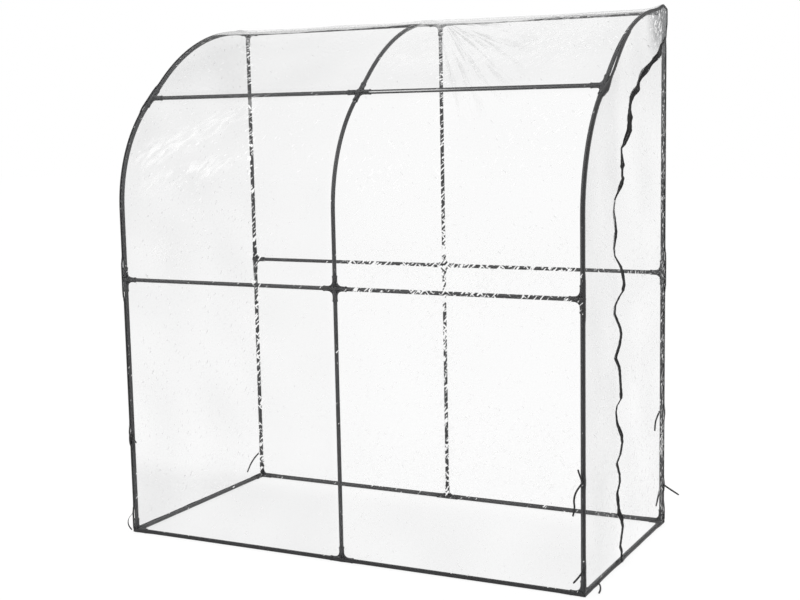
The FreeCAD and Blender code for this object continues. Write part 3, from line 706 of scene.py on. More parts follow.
ZIP_BEND, ZIP_TURN, ZIP_DROP, SLIDER_HIGH = 0.300, math.radians(60), 0.430, 1.4978
ZIP_BEND_START = RIDGE - ZIP_DROP - ZIP_BEND * math.tan(ZIP_TURN / 2)
PUCKER_HEIGHTS = [0.04, 0.065, 0.09, 0.146, 0.18, 0.20, 0.23, 0.277, 0.32, 0.35, 0.393, 0.43, 0.476, 0.505,
                  0.55, 0.59, 0.615, 0.645, 0.68, 0.74, 0.765, 0.80, 0.85, 0.89, 0.915, 0.968, 1.00, 1.035,
                  1.055, 1.085, 1.12, 1.145, 1.185, 1.215, 1.28, 1.35, 1.40, 1.44, 1.478, 1.497, 1.53, 1.585,
                  1.60, 1.65, 1.70, 1.72, 1.775, 1.80, 1.845, 1.895, 1.92, 1.945, 1.98, 2.00]
PUCKER_MM = [0, -7, -3, 5, 0, -11, -14, -19, -8, -9, -21, -6, 2, -1,
             -20, -24, -20, -3, -4, -8, -11, -27, -10, -3, -7, -31, -28, -10,
             4, 9, 3, -4, -29, -33, -25, -34, -29, -9, 4, 0, 1, -7,
             3, 17, 9, 1, -18, -12, -24, -14, 1, 7, -7, 0]
# Each turn of the tape is a height, how far up and down it reaches, and how much it adds to the slope.
ZIP_TURNS = [(0.19, 0.020, 0.48), (0.25, 0.016, 0.20), (0.355, 0.030, -0.10), (0.515, 0.022, 0.24),
             (0.60, 0.040, -0.24), (0.66, 0.014, 0.22), (0.82, 0.055, 0.20), (1.07, 0.014, 0.25),
             (1.115, 0.014, 0.15), (1.19, 0.028, -0.32), (1.262, 0.016, 0.20), (1.375, 0.032, -0.34),
             (1.45, 0.020, 0.45), (1.51, 0.026, 0.62), (1.578, 0.016, -0.28), (1.64, 0.045, 0.68),
             (1.70, 0.014, 0.50), (1.75, 0.018, -0.30), (1.798, 0.017, 1.15), (1.828, 0.018, -0.85),
             (1.875, 0.022, 1.25), (1.93, 0.018, 1.10), (1.985, 0.035, -0.62)]


def zip_y(z):
    """Where the zip is at a height: straight, then an arc of a circle, then a straight 60 degrees over."""
    z = np.asarray(z, float)
    rise = np.clip((z - ZIP_BEND_START) / ZIP_BEND, 0, math.sin(ZIP_TURN))
    arc = ZIP_Y + ZIP_BEND * (1 - np.sqrt(1 - rise ** 2))
    return arc + np.maximum(z - ZIP_BEND_START - ZIP_BEND * math.sin(ZIP_TURN), 0) * math.tan(ZIP_TURN)


def off_flats(z):
    """0 where the slider stands at either end of its travel and the tape lies flat, and 1 elsewhere."""
    return smooth(z, 0.045, 0.075) * smooth(np.abs(z - SLIDER_HIGH), 0.010, 0.026)


def zip_pucker(z):
    """How far the zip stands out of the end panel: lines between the heights where it turns back."""
    return np.interp(z, PUCKER_HEIGHTS, PUCKER_MM) / 1000 * off_flats(z)


def zip_twist(z):
    """How the tape leans: the slope of its surface across its width, with a bell for each turn."""
    return (0.05 + sum(slope * hump(z, height, reach) for height, reach, slope in ZIP_TURNS)) * off_flats(z)


def end_shift(y, z, loose):
    """How far the right end stands out: the zip's pucker dying away to both sides, and loose billows."""
    off = y - zip_y(z)
    return zip_pucker(z) * hump(off, 0, 0.050) + zip_twist(z) * off * hump(off, 0, 0.020) + loose


def corner_lift(x, y, z):
    """The bound corner at the rear top stands up in a point, which leans forward from the wall."""
    reach = hump(np.abs(x), END_X, 0.045) * np.where(x > 0, 1.0, 0.30)
    along = np.interp(y, [0.350, 0.400, 0.440, 0.446, 0.452, 0.503], [0.0, 0.36, 0.93, 1.0, 0.94, 0.0])
    return 0.0155 * reach * along * smooth(z, RIDGE - 0.045, RIDGE + 0.004)


# %% [markdown]
# ## Film: seams drawn in
# The collars of the joints hold the cover 12 mm from the tubes' centres. Between them its end seams are
# pulled in until they lie on the tubes, apart from a slack stretch over the right arch.

# %% Seams drawn in to the tubes
JOINT_RUNS = [0.005, FRONT_RAIL - FILM_FOOT, run_at(PURLIN[1]), WHOLE_RUN - RIDGE - 0.010,
              WHOLE_RUN - REAR_RAIL, WHOLE_RUN - 0.005]
KNOT_HEIGHTS = {1: ((0.423, 0.106), (0.474, 0.164)), -1: ((0.432, 0.080), (0.126,))}
SIDE_NORMAL = unit(side_line(FILM_OUT + 0.001) - SIDE)
PULL_DEPTH = 0.0031


def hug(run, sign):
    """1 where the seam is free to lie on the tube, and 0 where a joint's collar or a knot holds it out."""
    front, rear = KNOT_HEIGHTS[sign]
    close = math.prod([smooth(np.abs(run - joint), 0.056, 0.100) for joint in JOINT_RUNS])
    return close * clear_of(run, front, 0.022) * clear_of(WHOLE_RUN - run, rear, 0.022)


def slack(run):
    """Over the right arch the end seam is slack: it stands off the tube from the joint upwards."""
    joint = JOINT_RUNS[2]
    bunched = 0.0115 + 0.0045 * (1 - smooth(run, joint - 0.010, joint + 0.060))
    above = smooth(run, joint - 0.046, joint - 0.036)
    return bunched * above * (1 - smooth(run, joint + 0.06, joint + 0.42))


def foot_hug(x, y, z):
    """How far the hem is drawn in to the ground rails, in X and in Y, clear of sockets, zip and knots."""
    low = PULL_DEPTH * (1 - smooth(z, 0.018, 0.045))
    beside = low * (END_X - np.abs(x) < 0.008) * smooth(REAR - np.abs(y), 0.055, 0.095)
    before = low * (END_X - np.abs(x) > 0.050) * smooth(np.abs(y), 0.494, 0.499)
    return (beside * clear_of(y, [ZIP_Y, FRONT + 0.124], 0.045),
            before * clear_of(x, [0.0], 0.060) * smooth(HALF_WIDTH - np.abs(x), 0.055, 0.095))


def nearest_on_side(points):
    """For each (x, y, z) point the nearest point of the side line, and how far off it is."""
    gap, index = np.full(len(points), np.inf), np.zeros(len(points), int)
    for place, spot in enumerate(SIDE):
        distance = np.hypot(points[:, 1] - spot[0], points[:, 2] - spot[1])
        nearer = distance < gap
        gap[nearer], index[nearer] = distance[nearer], place
    return index, gap


def draw_in(points, index=None):
    """Moves points of the cover near its end seams: onto the tube, or off it where the seam is slack."""
    points = np.array(points, float)
    flat = points.reshape(-1, 3)
    index, gap = nearest_on_side(flat) if index is None else (index, np.zeros(len(flat)))
    inside = np.maximum(END_X - np.abs(flat[:, 0]), 0)
    weight = hump(np.hypot(gap, inside), 0, 0.032)
    run, right = SIDE_LENGTH[index], flat[:, 0] > 0
    close = np.where(right, hug(run, 1), hug(run, -1)) * PULL_DEPTH
    out = np.where(right, slack(run), 0.0)
    flat[:, 0] += np.where(right, 1, -1) * (out - np.where(out > 0.001, 0, close)) * weight
    flat[:, 1:] -= SIDE_NORMAL[index] * (close * weight)[:, None]
    beside, before = foot_hug(*flat.T)
    flat[:, 0] -= np.sign(flat[:, 0]) * beside
    flat[:, 1] -= np.sign(flat[:, 1]) * before
    return flat.reshape(points.shape)


# %% [markdown]
# ## Film: sheets
# Each sheet is a grid of points with four things kept on them: a UV map in metres, how crumpled the film
# is there, which sets its painted glints, how grey it is with painted shade, and how much painted highlight
# it shows on the folds of the pack. Solidify gives it its thickness, and the result is kept as a plain mesh.

# %% Sheet maker
LEVEL_DROP = 0.017
clear_film = film_material("clear soft PVC film", float(SIDE_LENGTH[RIDGE_INDEX + 6]), JOINT_RUNS[2],
                           run_at(RIDGE - LEVEL_DROP))


def set_uv(mesh, coordinates):
    """Writes the UV map in metres: every face corner takes the coordinates of its point."""
    corners = np.zeros(len(mesh.loops), np.int32)
    mesh.loops.foreach_get("vertex_index", corners)
    layer = mesh.uv_layers.new(name="metres")
    layer.data.foreach_set("uv", np.asarray(coordinates, np.float32).reshape(-1, 2)[corners].ravel())


def film_sheet(name, points, uv, looks, faces, body, node):
    """A sheet with its thickness inside its points. Looks are the values that the film's material reads."""
    mesh = bpy.data.meshes.new(name)
    mesh.from_pydata(points.reshape(-1, 3).tolist(), [], np.asarray(faces).tolist())
    set_uv(mesh, uv)
    for look, values in looks.items():
        attribute = mesh.attributes.new(look, "FLOAT", "POINT")
        attribute.data.foreach_set("value", np.asarray(values, np.float32).ravel())
    mesh.materials.append(clear_film)
    mesh.shade_smooth()
    sheet = put(name, mesh)
    wall = sheet.modifiers.new("film", "SOLIDIFY")
    wall.thickness, wall.offset = FILM_THICKNESS, -1.0
    graph = bpy.context.evaluated_depsgraph_get()
    finished = bpy.data.meshes.new_from_object(sheet.evaluated_get(graph), preserve_all_data_layers=True,
                                               depsgraph=graph)
    sheet.modifiers.clear()
    sheet.data = finished
    if body:
        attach(sheet, body)
    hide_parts(node)
    print(name, len(finished.polygons), "faces")
    return sheet


# %% [markdown]
# ## Film: main sheet
# One sheet goes up the front, over the roof and down the back. It sags a little between the bent frames,
# lies on the tubes, and fans into folds from the middle ridge joint, where it is pulled tight. Its creases,
# whose white flecks are painted glints, gather in front of the rear posts, on the front mid rail and on the
# level roof. Its haze, the film's faint grey with painted shade, thickens towards the ridge, the foot and the
# left side.

# %% Main sheet
SHEET_RAILS = [0.0, FRONT_RAIL, run_at(PURLIN[1]), WHOLE_RUN - RIDGE, WHOLE_RUN - REAR_RAIL, WHOLE_RUN]


def sheet_shift(x, run, y, z):
    """How far the sheet stands out: sag, billows, and a fan of folds round the middle ridge joint."""
    free_x = np.abs(np.sin(np.pi * x / HALF_WIDTH)) ** 0.8 * (np.abs(x) < HALF_WIDTH)
    free = free_x * clear_of(run, SHEET_RAILS, 0.06)
    roof = smooth(z, 1.45, 1.9) * (y < 0.45)
    shift = free * (-0.009 * roof + 0.0030 * billow(x, run, 0.45, 3) + 0.0012 * billow(x, run, 0.13, 5))
    below = run - SHEET_RAILS[3]
    far, angle = np.hypot(x, below), np.arctan2(below, x)
    fan = np.sin(17 * angle + 2.0 * np.sin(3 * angle)) * np.exp(-far / 0.22) * smooth(far, 0.03, 0.10)
    return shift + 0.0022 * fan * (below < 0) * clear_of(run, SHEET_RAILS, 0.03)


def sheet_crease_glints(x, run, y, z, front):
    """Painted glints: creases with white flecks gather where the camera sees two rear posts, the front mid
    rail, the level roof.
    """
    right, roof_level = smooth(x, 0.02, 0.07), smooth(z, 1.78, 1.84)
    left_share = 0.50 + 0.07 * smooth(z, 1.15, 1.25) - 0.15 * roof_level
    middle_share = 0.41 + 0.11 * (1 - smooth(z, 0.50, 0.75)) - 0.11 * roof_level
    posts = (left_share * hump(x, -0.99 + 0.648 * (REAR - y), 0.032)
             + middle_share * hump(x, 0.469 * (REAR - y), 0.032)) * smooth(z, 0.29, 0.34)
    patches = hump(x, 0.14, 0.05) + hump(x, 0.37, 0.06) + hump(x, 0.61, 0.05)
    low = (1 - smooth(z, 1.13, 1.16)) * (0.55 * np.minimum(patches, 1.0) - 0.42)
    rail = hump(z, FRONT_RAIL + 0.06, 0.11) * (0.64 + low)
    level = 0.35 * smooth(x, 0.35, 0.70) * smooth(z, 1.90, 2.00)
    crease_glints = 0.10 + 0.14 * right * (z < 1.8) + posts + right * rail + level + 0.10 * billow(x, run, 0.5, 8)
    on_frames = clear_of(x, SIDES.values(), 0.022)
    crease_glints = crease_glints * (0.35 + 0.65 * on_frames) * (1 - 0.9 * hump(run, SHEET_RAILS[2], 0.03))
    return np.clip(np.where(front, crease_glints, 0.2 * crease_glints), 0, 0.84)


def sheet_fold_highlights(x, z, front):
    """Painted highlights on folds of the pack in two slanting rows and a patch of the left bay, and on the
    right of the roof.
    """
    rows = hump(z - 0.45 * (x + 0.7), 1.66, 0.045) + 0.7 * hump(z - 0.25 * (x + 0.7), 1.50, 0.035)
    fold_highlights = rows * smooth(x, -0.95, -0.85) * (1 - smooth(x, -0.60, -0.35))
    fold_highlights = fold_highlights + 0.9 * hump(x, -0.78, 0.07) * hump(z, 1.19, 0.05)
    fold_highlights = fold_highlights + 0.45 * smooth(x, 0.02, 0.07) * smooth(z, 1.86, 1.95)
    return np.where(front, fold_highlights, 0.0) * (1 - smooth(x, 0.84, 0.92))


def sheet_haze_and_shade(x, run, z, front):
    """The film's faint grey with painted shade: thicker to the left, near the ridge, and at the foot for the
    shaded floor inside.
    """
    left = 1 - smooth(x, -1.0, 0.0)
    below_roof = 0.17 * left * smooth(z, 0.6, 1.5) + 0.14 * (1 - smooth(x, -0.03, 0.0))
    haze_and_shade = 0.08 + (0.46 + 0.25 * left) * smooth(z, 1.78, 1.84) + below_roof * (z < 1.84)
    # Painted shade at the foot, for the shaded floor seen through the film.
    haze_and_shade = haze_and_shade + 0.46 * (1 - smooth(z, 0.24, 0.34)) + 0.3 * smooth(x, 0.80, 0.99) * smooth(z, 1.80, 2.05)
    haze_and_shade = np.where(front, haze_and_shade, 0.06 + 0.15 * left)
    return np.clip(haze_and_shade * (1 + 0.15 * billow(x, run, 0.35, 13)), 0.02, 1.4)


def make_main_sheet():
    """The sheet's points lie on the side line, moved out and in, across the width in 126 steps."""
    across = np.linspace(-END_X, END_X, 127)
    x, run = np.meshgrid(across, SIDE_LENGTH)
    y, z = (np.meshgrid(across, SIDE[:, axis])[1] for axis in (0, 1))
    shift = sheet_shift(x, run, y, z)
    points = np.stack([x, y + SIDE_NORMAL[:, :1] * shift, z + SIDE_NORMAL[:, 1:] * shift], axis=-1)
    points[..., 2] += corner_lift(x, y, z)
    points = draw_in(points, np.repeat(np.arange(len(SIDE)), len(across)))
    front = run < SHEET_RAILS[3] - 0.02
    looks = {"crease_glints": sheet_crease_glints(x, run, y, z, front), "haze_and_shade": sheet_haze_and_shade(x, run, z, front),
             "fold_highlights": sheet_fold_highlights(x, z, front)}
    return film_sheet("cover_film_main_sheet", points, np.stack([x, run], axis=-1), looks,
                      grid_faces(*x.shape)[:, ::-1], "frame_and_cover", "cover_sheet")


main_sheet = make_main_sheet()

# %% [markdown]
# ## Film: end panels and door
# The end panels hang inside the curve of the bent frames. Each row of points runs level from the curve to
# the back. The right one is cut along the zip, and the door leaf fills the cut. Both share the zip's
# pucker, so their edges stay side by side.

# %% End panels and door
SLIT = 0.0008


def end_rows(step):
    """Heights from the hem to the ridge, closer together where the roof is nearly level."""
    low = np.linspace(FILM_FOOT, ZIP_TOP, int(ZIP_TOP / step))
    share = np.linspace(0, 1, 17)[1:]
    return np.concatenate([low, ZIP_TOP + (RIDGE + FILM_OUT - ZIP_TOP) * (1 - (1 - share) ** 2)]), len(low)


def front_edge(z):
    """Where the end panels meet the main sheet's front or roof at a height."""
    return np.interp(z, SIDE[:RIDGE_INDEX + 1, 1], SIDE[:RIDGE_INDEX + 1, 0])


def rear_edge(z):
    """Where the end panels meet the main sheet's back at a height."""
    back = SIDE[RIDGE_INDEX + LEVEL_COUNT - 2:]
    return np.interp(-z, -back[:, 1], back[:, 0])


def end_film(name, x_sign, rows, y, node, values, keep=slice(None), body="frame_and_cover"):
    """A sheet in an end: rows of points at their heights, moved out, how creased they are for the painted
    glints, and how grey with painted shade.
    """
    z = np.repeat(rows[:, None], y.shape[1], axis=1)
    shift, crease_glints, haze_and_shade = values(y, z)
    points = np.stack([x_sign * (END_X + shift), y, z], axis=-1)
    points[..., 2] += corner_lift(points[..., 0], y, z)
    faces = grid_faces(*y.shape)[keep][:, ::x_sign]
    looks = {"crease_glints": np.clip(crease_glints, 0, 1), "haze_and_shade": np.clip(haze_and_shade, 0, 8), "fold_highlights": np.zeros(y.shape)}
    uv = np.stack([y + 3.0 * x_sign, z], axis=-1)
    return film_sheet(name, draw_in(points), uv, looks, faces, body, node)


def end_free(y, z):
    """0 on the frame and the ground rail, 1 in the open film."""
    start, end = front_edge(z), rear_edge(z)
    return smooth(y - start, 0.0, 0.12) * smooth(end - y, 0.0, 0.10) * smooth(z, 0.02, 0.15)


def left_end_values(y, z):
    """The left end's shift, how creased it is for its painted glints, and its grey with painted shade."""
    free = end_free(y, z)
    loose = free * (0.0035 * billow(y, z, 0.40, 21) + 0.0012 * billow(y, z, 0.12, 22))
    return loose, 0.15 * free, 0.20 + 0.10 * billow(y, z, 0.4, 23) + 0.17 * smooth(z, 0.8, 1.6)


def right_end_values(y, z):
    """The right end's shift, how creased it is for its painted glints, and its grey with painted shade. Its
    upper rear corner is bunched, and much greyer.
    """
    free, rear = end_free(y, z), smooth(y, 0.42, 0.45)
    loose = free * (0.0025 * billow(y, z, 0.38, 31) + 0.0012 * billow(y, z, 0.11, 32))
    loose = loose * clear_of(y - zip_y(z), [0.0], 0.05)
    high = smooth(z, 1.90, 2.05) * smooth(y, 0.20, 0.38)
    crease_glints = 0.30 * free + 0.35 * rear * (smooth(1.95 - z, 0.0, 0.10) + hump(z, 0.36, 0.07))
    crease_glints = crease_glints + 0.40 * high * (1 - rear)
    haze_and_shade = 0.40 + 0.13 * billow(y, z, 0.4, 33) + 0.45 * smooth(z, 1.55, 1.95)
    haze_and_shade = haze_and_shade + 0.42 * (1 - smooth(y, ZIP_Y - 0.10, ZIP_Y))
    haze_and_shade = haze_and_shade + high * (4.4 + 3.6 * smooth(z, 2.03, 2.10) * smooth(y, 0.36, 0.46))
    return end_shift(y, z, loose), crease_glints, haze_and_shade


def make_end_left():
    """The whole left end."""
    rows, _ = end_rows(0.0145)
    start, end = front_edge(rows), rear_edge(rows)
    y = start[:, None] + (end - start)[:, None] * np.linspace(0, 1, 60)
    return end_film("cover_film_left_end", -1, rows, y, "end_panel_left", left_end_values)


def make_end_right():
    """The right end in front of the zip, with the strip behind the door's hinge line."""
    rows, low = end_rows(0.005)
    share = np.sin(np.linspace(0, 1, 42) * math.pi / 2)
    start, end = front_edge(rows), rear_edge(rows)
    edge = np.where(rows <= ZIP_TOP + 1e-6, zip_y(np.minimum(rows, ZIP_TOP)), HINGE_Y) - SLIT
    panel = start[:, None] + (np.minimum(edge, HINGE_Y - SLIT) - start)[:, None] * share
    strip = HINGE_Y + (end - HINGE_Y)[:, None] * np.array([0.0, 0.5, 1.0])
    y = np.concatenate([panel, strip], axis=1)
    keep = np.ones((len(rows) - 1, y.shape[1] - 1), bool)
    keep[:low - 1, len(share) - 1] = False
    return end_film("cover_film_right_end", 1, rows, y, "end_panel_right", right_end_values, keep.ravel())


def make_door():
    """The door leaf, from the zip to the hinge line."""
    rows = np.linspace(FILM_FOOT, ZIP_TOP - 0.004, 400)
    share = 1 - np.sin(np.linspace(1, 0, 46) * math.pi / 2)
    start = zip_y(rows) + SLIT
    y = start[:, None] + (HINGE_Y - 0.0005 - start)[:, None] * share
    return end_film("cover_film_door", 1, rows, y, "door_leaf", right_end_values, body=None)


end_left, end_right, door = make_end_left(), make_end_right(), make_door()
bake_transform(door)

# %% [markdown]
# ## Bindings
# A woven tape is folded over each end seam, and round the foot of the cover. It is drawn as one closed
# skin: a cross section carried along the seam. Short stitches of thread run along both of its edges.

# %% Tape maker
def tape_piece(name, sections, run, across, material, nodes=(), body="frame_and_cover"):
    """A closed skin through a tape's cross sections, with its UV map in metres: along it, then across."""
    shells = Shells()
    shells.rings(sections)
    made = shells.piece(name, material, nodes, body)
    set_uv(made.data, np.stack(np.broadcast_arrays(run[:, None], np.array(across)[None]), axis=-1))
    return made


def stitch_marks(run):
    """The distances along a seam at which its stitches are."""
    return np.arange(0.006, run[-1] - 0.004, 0.0042)


def stitches(shells, places, along, out, side, length=0.0030, width=0.0007, height=0.0004, sunk=0.00005):
    """Short raised threads: a low hipped bar on each place, laid along a direction and standing out."""
    ends = np.array([[-0.5, -0.5, 0], [0.5, -0.5, 0], [0.5, 0.5, 0], [-0.5, 0.5, 0],
                     [-0.32, -0.25, 1], [0.32, -0.25, 1], [0.32, 0.25, 1], [-0.32, 0.25, 1]])
    quads = [[3, 2, 1, 0], [4, 5, 6, 7], [0, 1, 5, 4], [1, 2, 6, 5], [2, 3, 7, 6], [3, 0, 4, 7]]
    points = places[:, None] + ends[None, :, :1] * length * along[:, None]
    points = points + ends[None, :, 1:2] * width * side[:, None]
    points = points + (ends[None, :, 2:] * height - sunk) * out[:, None]
    faces = (np.arange(len(places))[:, None, None] * 8 + np.array(quads)[None]).reshape(-1, 4)
    shells.take(draw_in(points), faces.tolist())


def wave(run, length, shift=0.0):
    """A sine wave along a run."""
    return np.sin(2 * math.pi * run / length + shift)


def at_lengths(line, lengths):
    """Points at given distances along a line."""
    run = line_length(line)
    return np.stack([np.interp(lengths, run, axis) for axis in line.T], axis=-1)


# %% End seams
BINDING, BINDING_WIDTH, LIP, HEM_TOP, HEM_FOOT, NEAR = 0.0006, 0.012, 0.006, 0.0174, 0.0034, 0.00005
SEAM_ACROSS = (0, 0.0073, 0.0114, 0.012, 0.0155, 0.0185, 0.0185, 0.012, 0.0073, 0)


def seam_point(offset, out, sign):
    """The side line at an offset, on the end film, a little further out, and lifted with the corner."""
    y, z = side_line(offset, HEM_TOP + 0.0002).T
    film = right_end_values(y, z)[0] * (sign > 0)
    x = sign * (END_X + out + film * (out > -0.0005))
    return np.column_stack([x, y, z + corner_lift(x, y, z)])


def end_seam(side, sign):
    """The binding of one end: its inner edge wavers, and its lip is wider at the right purlin joint."""
    edge, inner = FILM_OUT + BINDING, FILM_OUT + BINDING - BINDING_WIDTH
    run = line_length(side_line(edge, HEM_TOP))
    wander = np.abs(0.0007 * wave(run, 0.043) * wave(run, 0.170))[:, None]
    low, middle = seam_point(inner, BINDING, sign), seam_point(TUBE_RADIUS, BINDING, sign)
    low = low + (middle - low) * wander / (TUBE_RADIUS - inner)
    lip = -LIP - 0.012 * hump(run, JOINT_RUNS[2] - 0.026, 0.028) * (sign > 0)
    corners = ((edge - 0.0006, BINDING), (edge, BINDING - 0.0006), (edge, lip / 2), (edge - 0.0001, lip),
               (FILM_OUT + NEAR, lip), (FILM_OUT + NEAR, NEAR), (TUBE_RADIUS, NEAR))
    rings = [low, middle + wander * np.array([sign, 0, 0])]
    rings += [seam_point(offset, out, sign) for offset, out in corners]
    rings.append(low - np.array([sign * (BINDING - NEAR), 0, 0]))
    tape_piece(f"seam_binding_{side}_tape", draw_in(np.stack(rings, axis=1)), run, SEAM_ACROSS,
               binding_weave, ["seam_binding_" + side])
    threads = Shells()
    for offset in (inner + 0.0022, edge - 0.0022):
        line = seam_point(offset, BINDING + 0.0008, sign)
        marks = stitch_marks(line_length(line))
        places = at_lengths(line, marks)
        along = unit(at_lengths(line, marks + 0.0015) - places)
        out = np.broadcast_to(np.array([sign, 0.0, 0.0]), along.shape)
        stitches(threads, places, along, out, np.cross(out, along))
    threads.piece("seam_stitches_" + side, thread)
    print(side, "seam", round(float(run[-1]), 3), "m")


end_seam("right", 1)
end_seam("left", -1)

# %% Hem
HEM_HALF, HEM_GAP = 0.00075, 0.00020
HEM_SECTION = [(HEM_HALF, 1.0), (HEM_HALF, 0.5), (HEM_HALF, 0.10), (HEM_HALF * 0.5, 0.0),
               (-HEM_HALF * 0.5, 0.0), (-HEM_HALF, 0.10), (-HEM_HALF, 1.0), (-HEM_GAP, 1.0),
               (-HEM_GAP, 0.06), (HEM_GAP, 0.06), (HEM_GAP, 1.0)]
HEM_ACROSS = (0, 0.007, 0.0126, 0.0145, 0.015, 0.0165, 0.029, 0.029, 0.0165, 0.0145, 0)


def hem_wave(run, near):
    """The hem only stands out from the cover, in waves, and bunches up near the foot of the zip."""
    out = 0.0006 * (1 + wave(run, 0.19, 0.8)) * (1 + 0.5 * wave(run, 0.071)) + 0.0055 * near
    return out * np.sin(np.clip(np.minimum(run, run[-1] - run) / 0.03, 0, 1) * math.pi / 2)


def hem_pieces(name, path, normal, near, body, nodes):
    """A U-shaped tape folded round the film's foot, along a path on the ground, and its stitches."""
    run = line_length(path)
    out, high = hem_wave(run, near), HEM_TOP + 0.006 * near
    rings = []
    for aside, share in HEM_SECTION:
        spread = out * (0.35 + 0.65 * share if aside > 0 else 0.0)
        level = HEM_FOOT + (high - HEM_FOOT) * share
        rings.append(np.column_stack([path + normal * (aside + spread)[:, None], level]))
    made = tape_piece(name, draw_in(np.stack(rings, axis=1)), run, HEM_ACROSS, binding_weave,
                      nodes, body)
    threads = Shells()
    marks = stitch_marks(run)
    outward = np.column_stack([unit(np.stack([np.interp(marks, run, axis) for axis in normal.T], axis=-1)),
                               np.zeros(len(marks))])
    ahead = np.cross(outward, UP)
    upright = np.broadcast_to(np.array(UP, float), ahead.shape)
    for share in (0.22, 0.82):
        aside = HEM_HALF + np.interp(marks, run, out) * (0.35 + 0.65 * share)
        foot = at_lengths(path, marks) + outward[:, :2] * aside[:, None]
        places = np.column_stack([foot, HEM_FOOT + (np.interp(marks, run, high) - HEM_FOOT) * share])
        stitches(threads, draw_in(places), ahead, outward, upright)
    print(name, round(float(run[-1]), 3), "m")
    return made, threads.piece(name + "_stitches", thread, body=body)


def ground_path(corners, radius=0.004, spacing=0.008):
    """A path on the ground through corners, rounded a little, and the side to its left along it."""
    corners = np.array(corners, float)
    arcs = [corner_arc(*corners[index:index + 3], radius, 6) for index in range(len(corners) - 2)]
    starts = [corners[0]] + [arc[-1] for arc in arcs]
    ends = [arc[0] for arc in arcs] + [corners[-1]]
    runs = [straight(start, end, max(2, int(np.linalg.norm(end - start) / spacing)))
            for start, end in zip(starts, ends)]
    for index, arc in enumerate(arcs):
        runs[index] = np.concatenate([runs[index][:-1], arc[:-1]])
    path = np.concatenate(runs)
    step = unit(np.gradient(path, axis=0))
    return path, np.column_stack([-step[:, 1], step[:, 0]])


MID = FILM_OUT - FILM_THICKNESS / 2
EAST, SOUTH, NORTH = HALF_WIDTH + MID, FRONT - MID, REAR + MID
TAPE, HINGE_GAP = 0.0128, 0.006
path, left_side = ground_path([(EAST, ZIP_Y - TAPE), (EAST, SOUTH), (-EAST, SOUTH), (-EAST, NORTH),
                               (EAST, NORTH), (EAST, HINGE_Y + HINGE_GAP)])
near_zip = hump(path[:, 1], ZIP_Y - TAPE - 0.020, 0.022) * (path[:, 0] > 0.98)
hem_pieces("hem_binding_tape", path, -left_side, near_zip, "frame_and_cover", ["hem_binding"])
path, left_side = ground_path([(EAST, ZIP_Y + TAPE), (EAST, HINGE_Y - HINGE_GAP)])
near_zip = 0.5 * hump(path[:, 1], ZIP_Y + TAPE, 0.03)
for made in hem_pieces("door_hem_tape", path, -left_side, near_zip, None, ["door_hem_binding"]):
    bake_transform(made)

# %% [markdown]
# ## Zip
# Two tapes with a row of moulded teeth on each. The tapes are sewn to the puckered film, so they follow the
# same surface, and each tooth sits on its tape with the others of its row in the gaps of the other row.

# %% Zip tapes and teeth
ZIP_ROWS = np.linspace(FILM_FOOT, 2.0045, 620)
TOOTH_STEP, TOOTH_HALF, TOOTH_FOOT, TOOTH_HEAD, TOOTH_RISE = 0.0025, 0.0019, 0.0030, -0.0002, 0.0004
TOOTH_OUTLINE = np.array([[0.0, -0.45], [0.55, -0.45], [0.72, -0.56], [0.92, -0.50], [1.0, 0.0],
                          [0.92, 0.50], [0.72, 0.56], [0.55, 0.45], [0.0, 0.45]])


def on_zip(z, aside, out):
    """A point beside the zip line, on the film there and so far out of it. The door's side is plus."""
    turn = np.arcsin(np.clip((z - ZIP_BEND_START) / ZIP_BEND, 0, math.sin(ZIP_TURN)))
    y, height = zip_y(z) + np.cos(turn) * aside, np.maximum(z - np.sin(turn) * aside, FILM_FOOT)
    return np.stack([END_X + right_end_values(y, height)[0] + out, y, height], axis=-1)


def zip_tape(name, sign, body, nodes):
    """One tape, 12 mm wide, with a frilled outer edge. It ends before the hinge line."""
    edges = sign * np.array([0.0008, 0.0040, 0.0080, 0.0118, TAPE])
    frill = 0.0005 * (1 + wave(ZIP_ROWS, 0.021) * wave(ZIP_ROWS, 0.13))
    rings = [on_zip(ZIP_ROWS, aside, out + frill * (abs(aside) > 0.0100))
             for out, side in ((0.0005, edges), (0.0001, edges[::-1])) for aside in side]
    sections = np.stack(rings, axis=1)
    sections[..., 1] = np.minimum(sections[..., 1], HINGE_Y - HINGE_GAP)
    run = line_length(sections[:, 0])
    across = np.concatenate([edges, edges[::-1] + sign * 0.0130])
    return tape_piece(name, draw_in(sections), run, across, zip_weave, nodes, body), run


def teeth(name, sign, run, body):
    """One row of teeth, 2.5 mm apart. Each is a bar with a rounded head that reaches over the slot."""
    first = 0.003 + (TOOTH_STEP / 2 if sign > 0 else 0.0)
    z = np.interp(np.arange(first, run[-1] - 0.004, TOOTH_STEP), run, ZIP_ROWS)
    base, head = (on_zip(z, sign * aside, TOOTH_RISE) for aside in (TOOTH_FOOT, TOOTH_HEAD))
    reach = unit(head - base)
    above, below = (on_zip(z + step, sign * 0.0014, TOOTH_RISE) for step in (0.0010, -0.0010))
    ahead = unit(above - below)
    out = unit(np.cross(ahead, reach) * -sign)
    width = np.linalg.norm(head - base, axis=-1)[:, None, None]
    levels = []
    for level, shrink in ((0.0, 1.0), (0.0011, 1.0), (0.0016, 0.72)):
        levels.append(base[:, None] + level * out[:, None]
                      + TOOTH_OUTLINE[None, :, :1] * width * reach[:, None] * (1 - 0.06 * (1 - shrink))
                      + TOOTH_OUTLINE[None, :, 1:] * TOOTH_HALF * shrink * ahead[:, None])
    shells = Shells()
    for tooth in draw_in(np.stack(levels, axis=1)):
        shells.rings(tooth)
    return shells.piece(name, nylon_teeth, body=body)


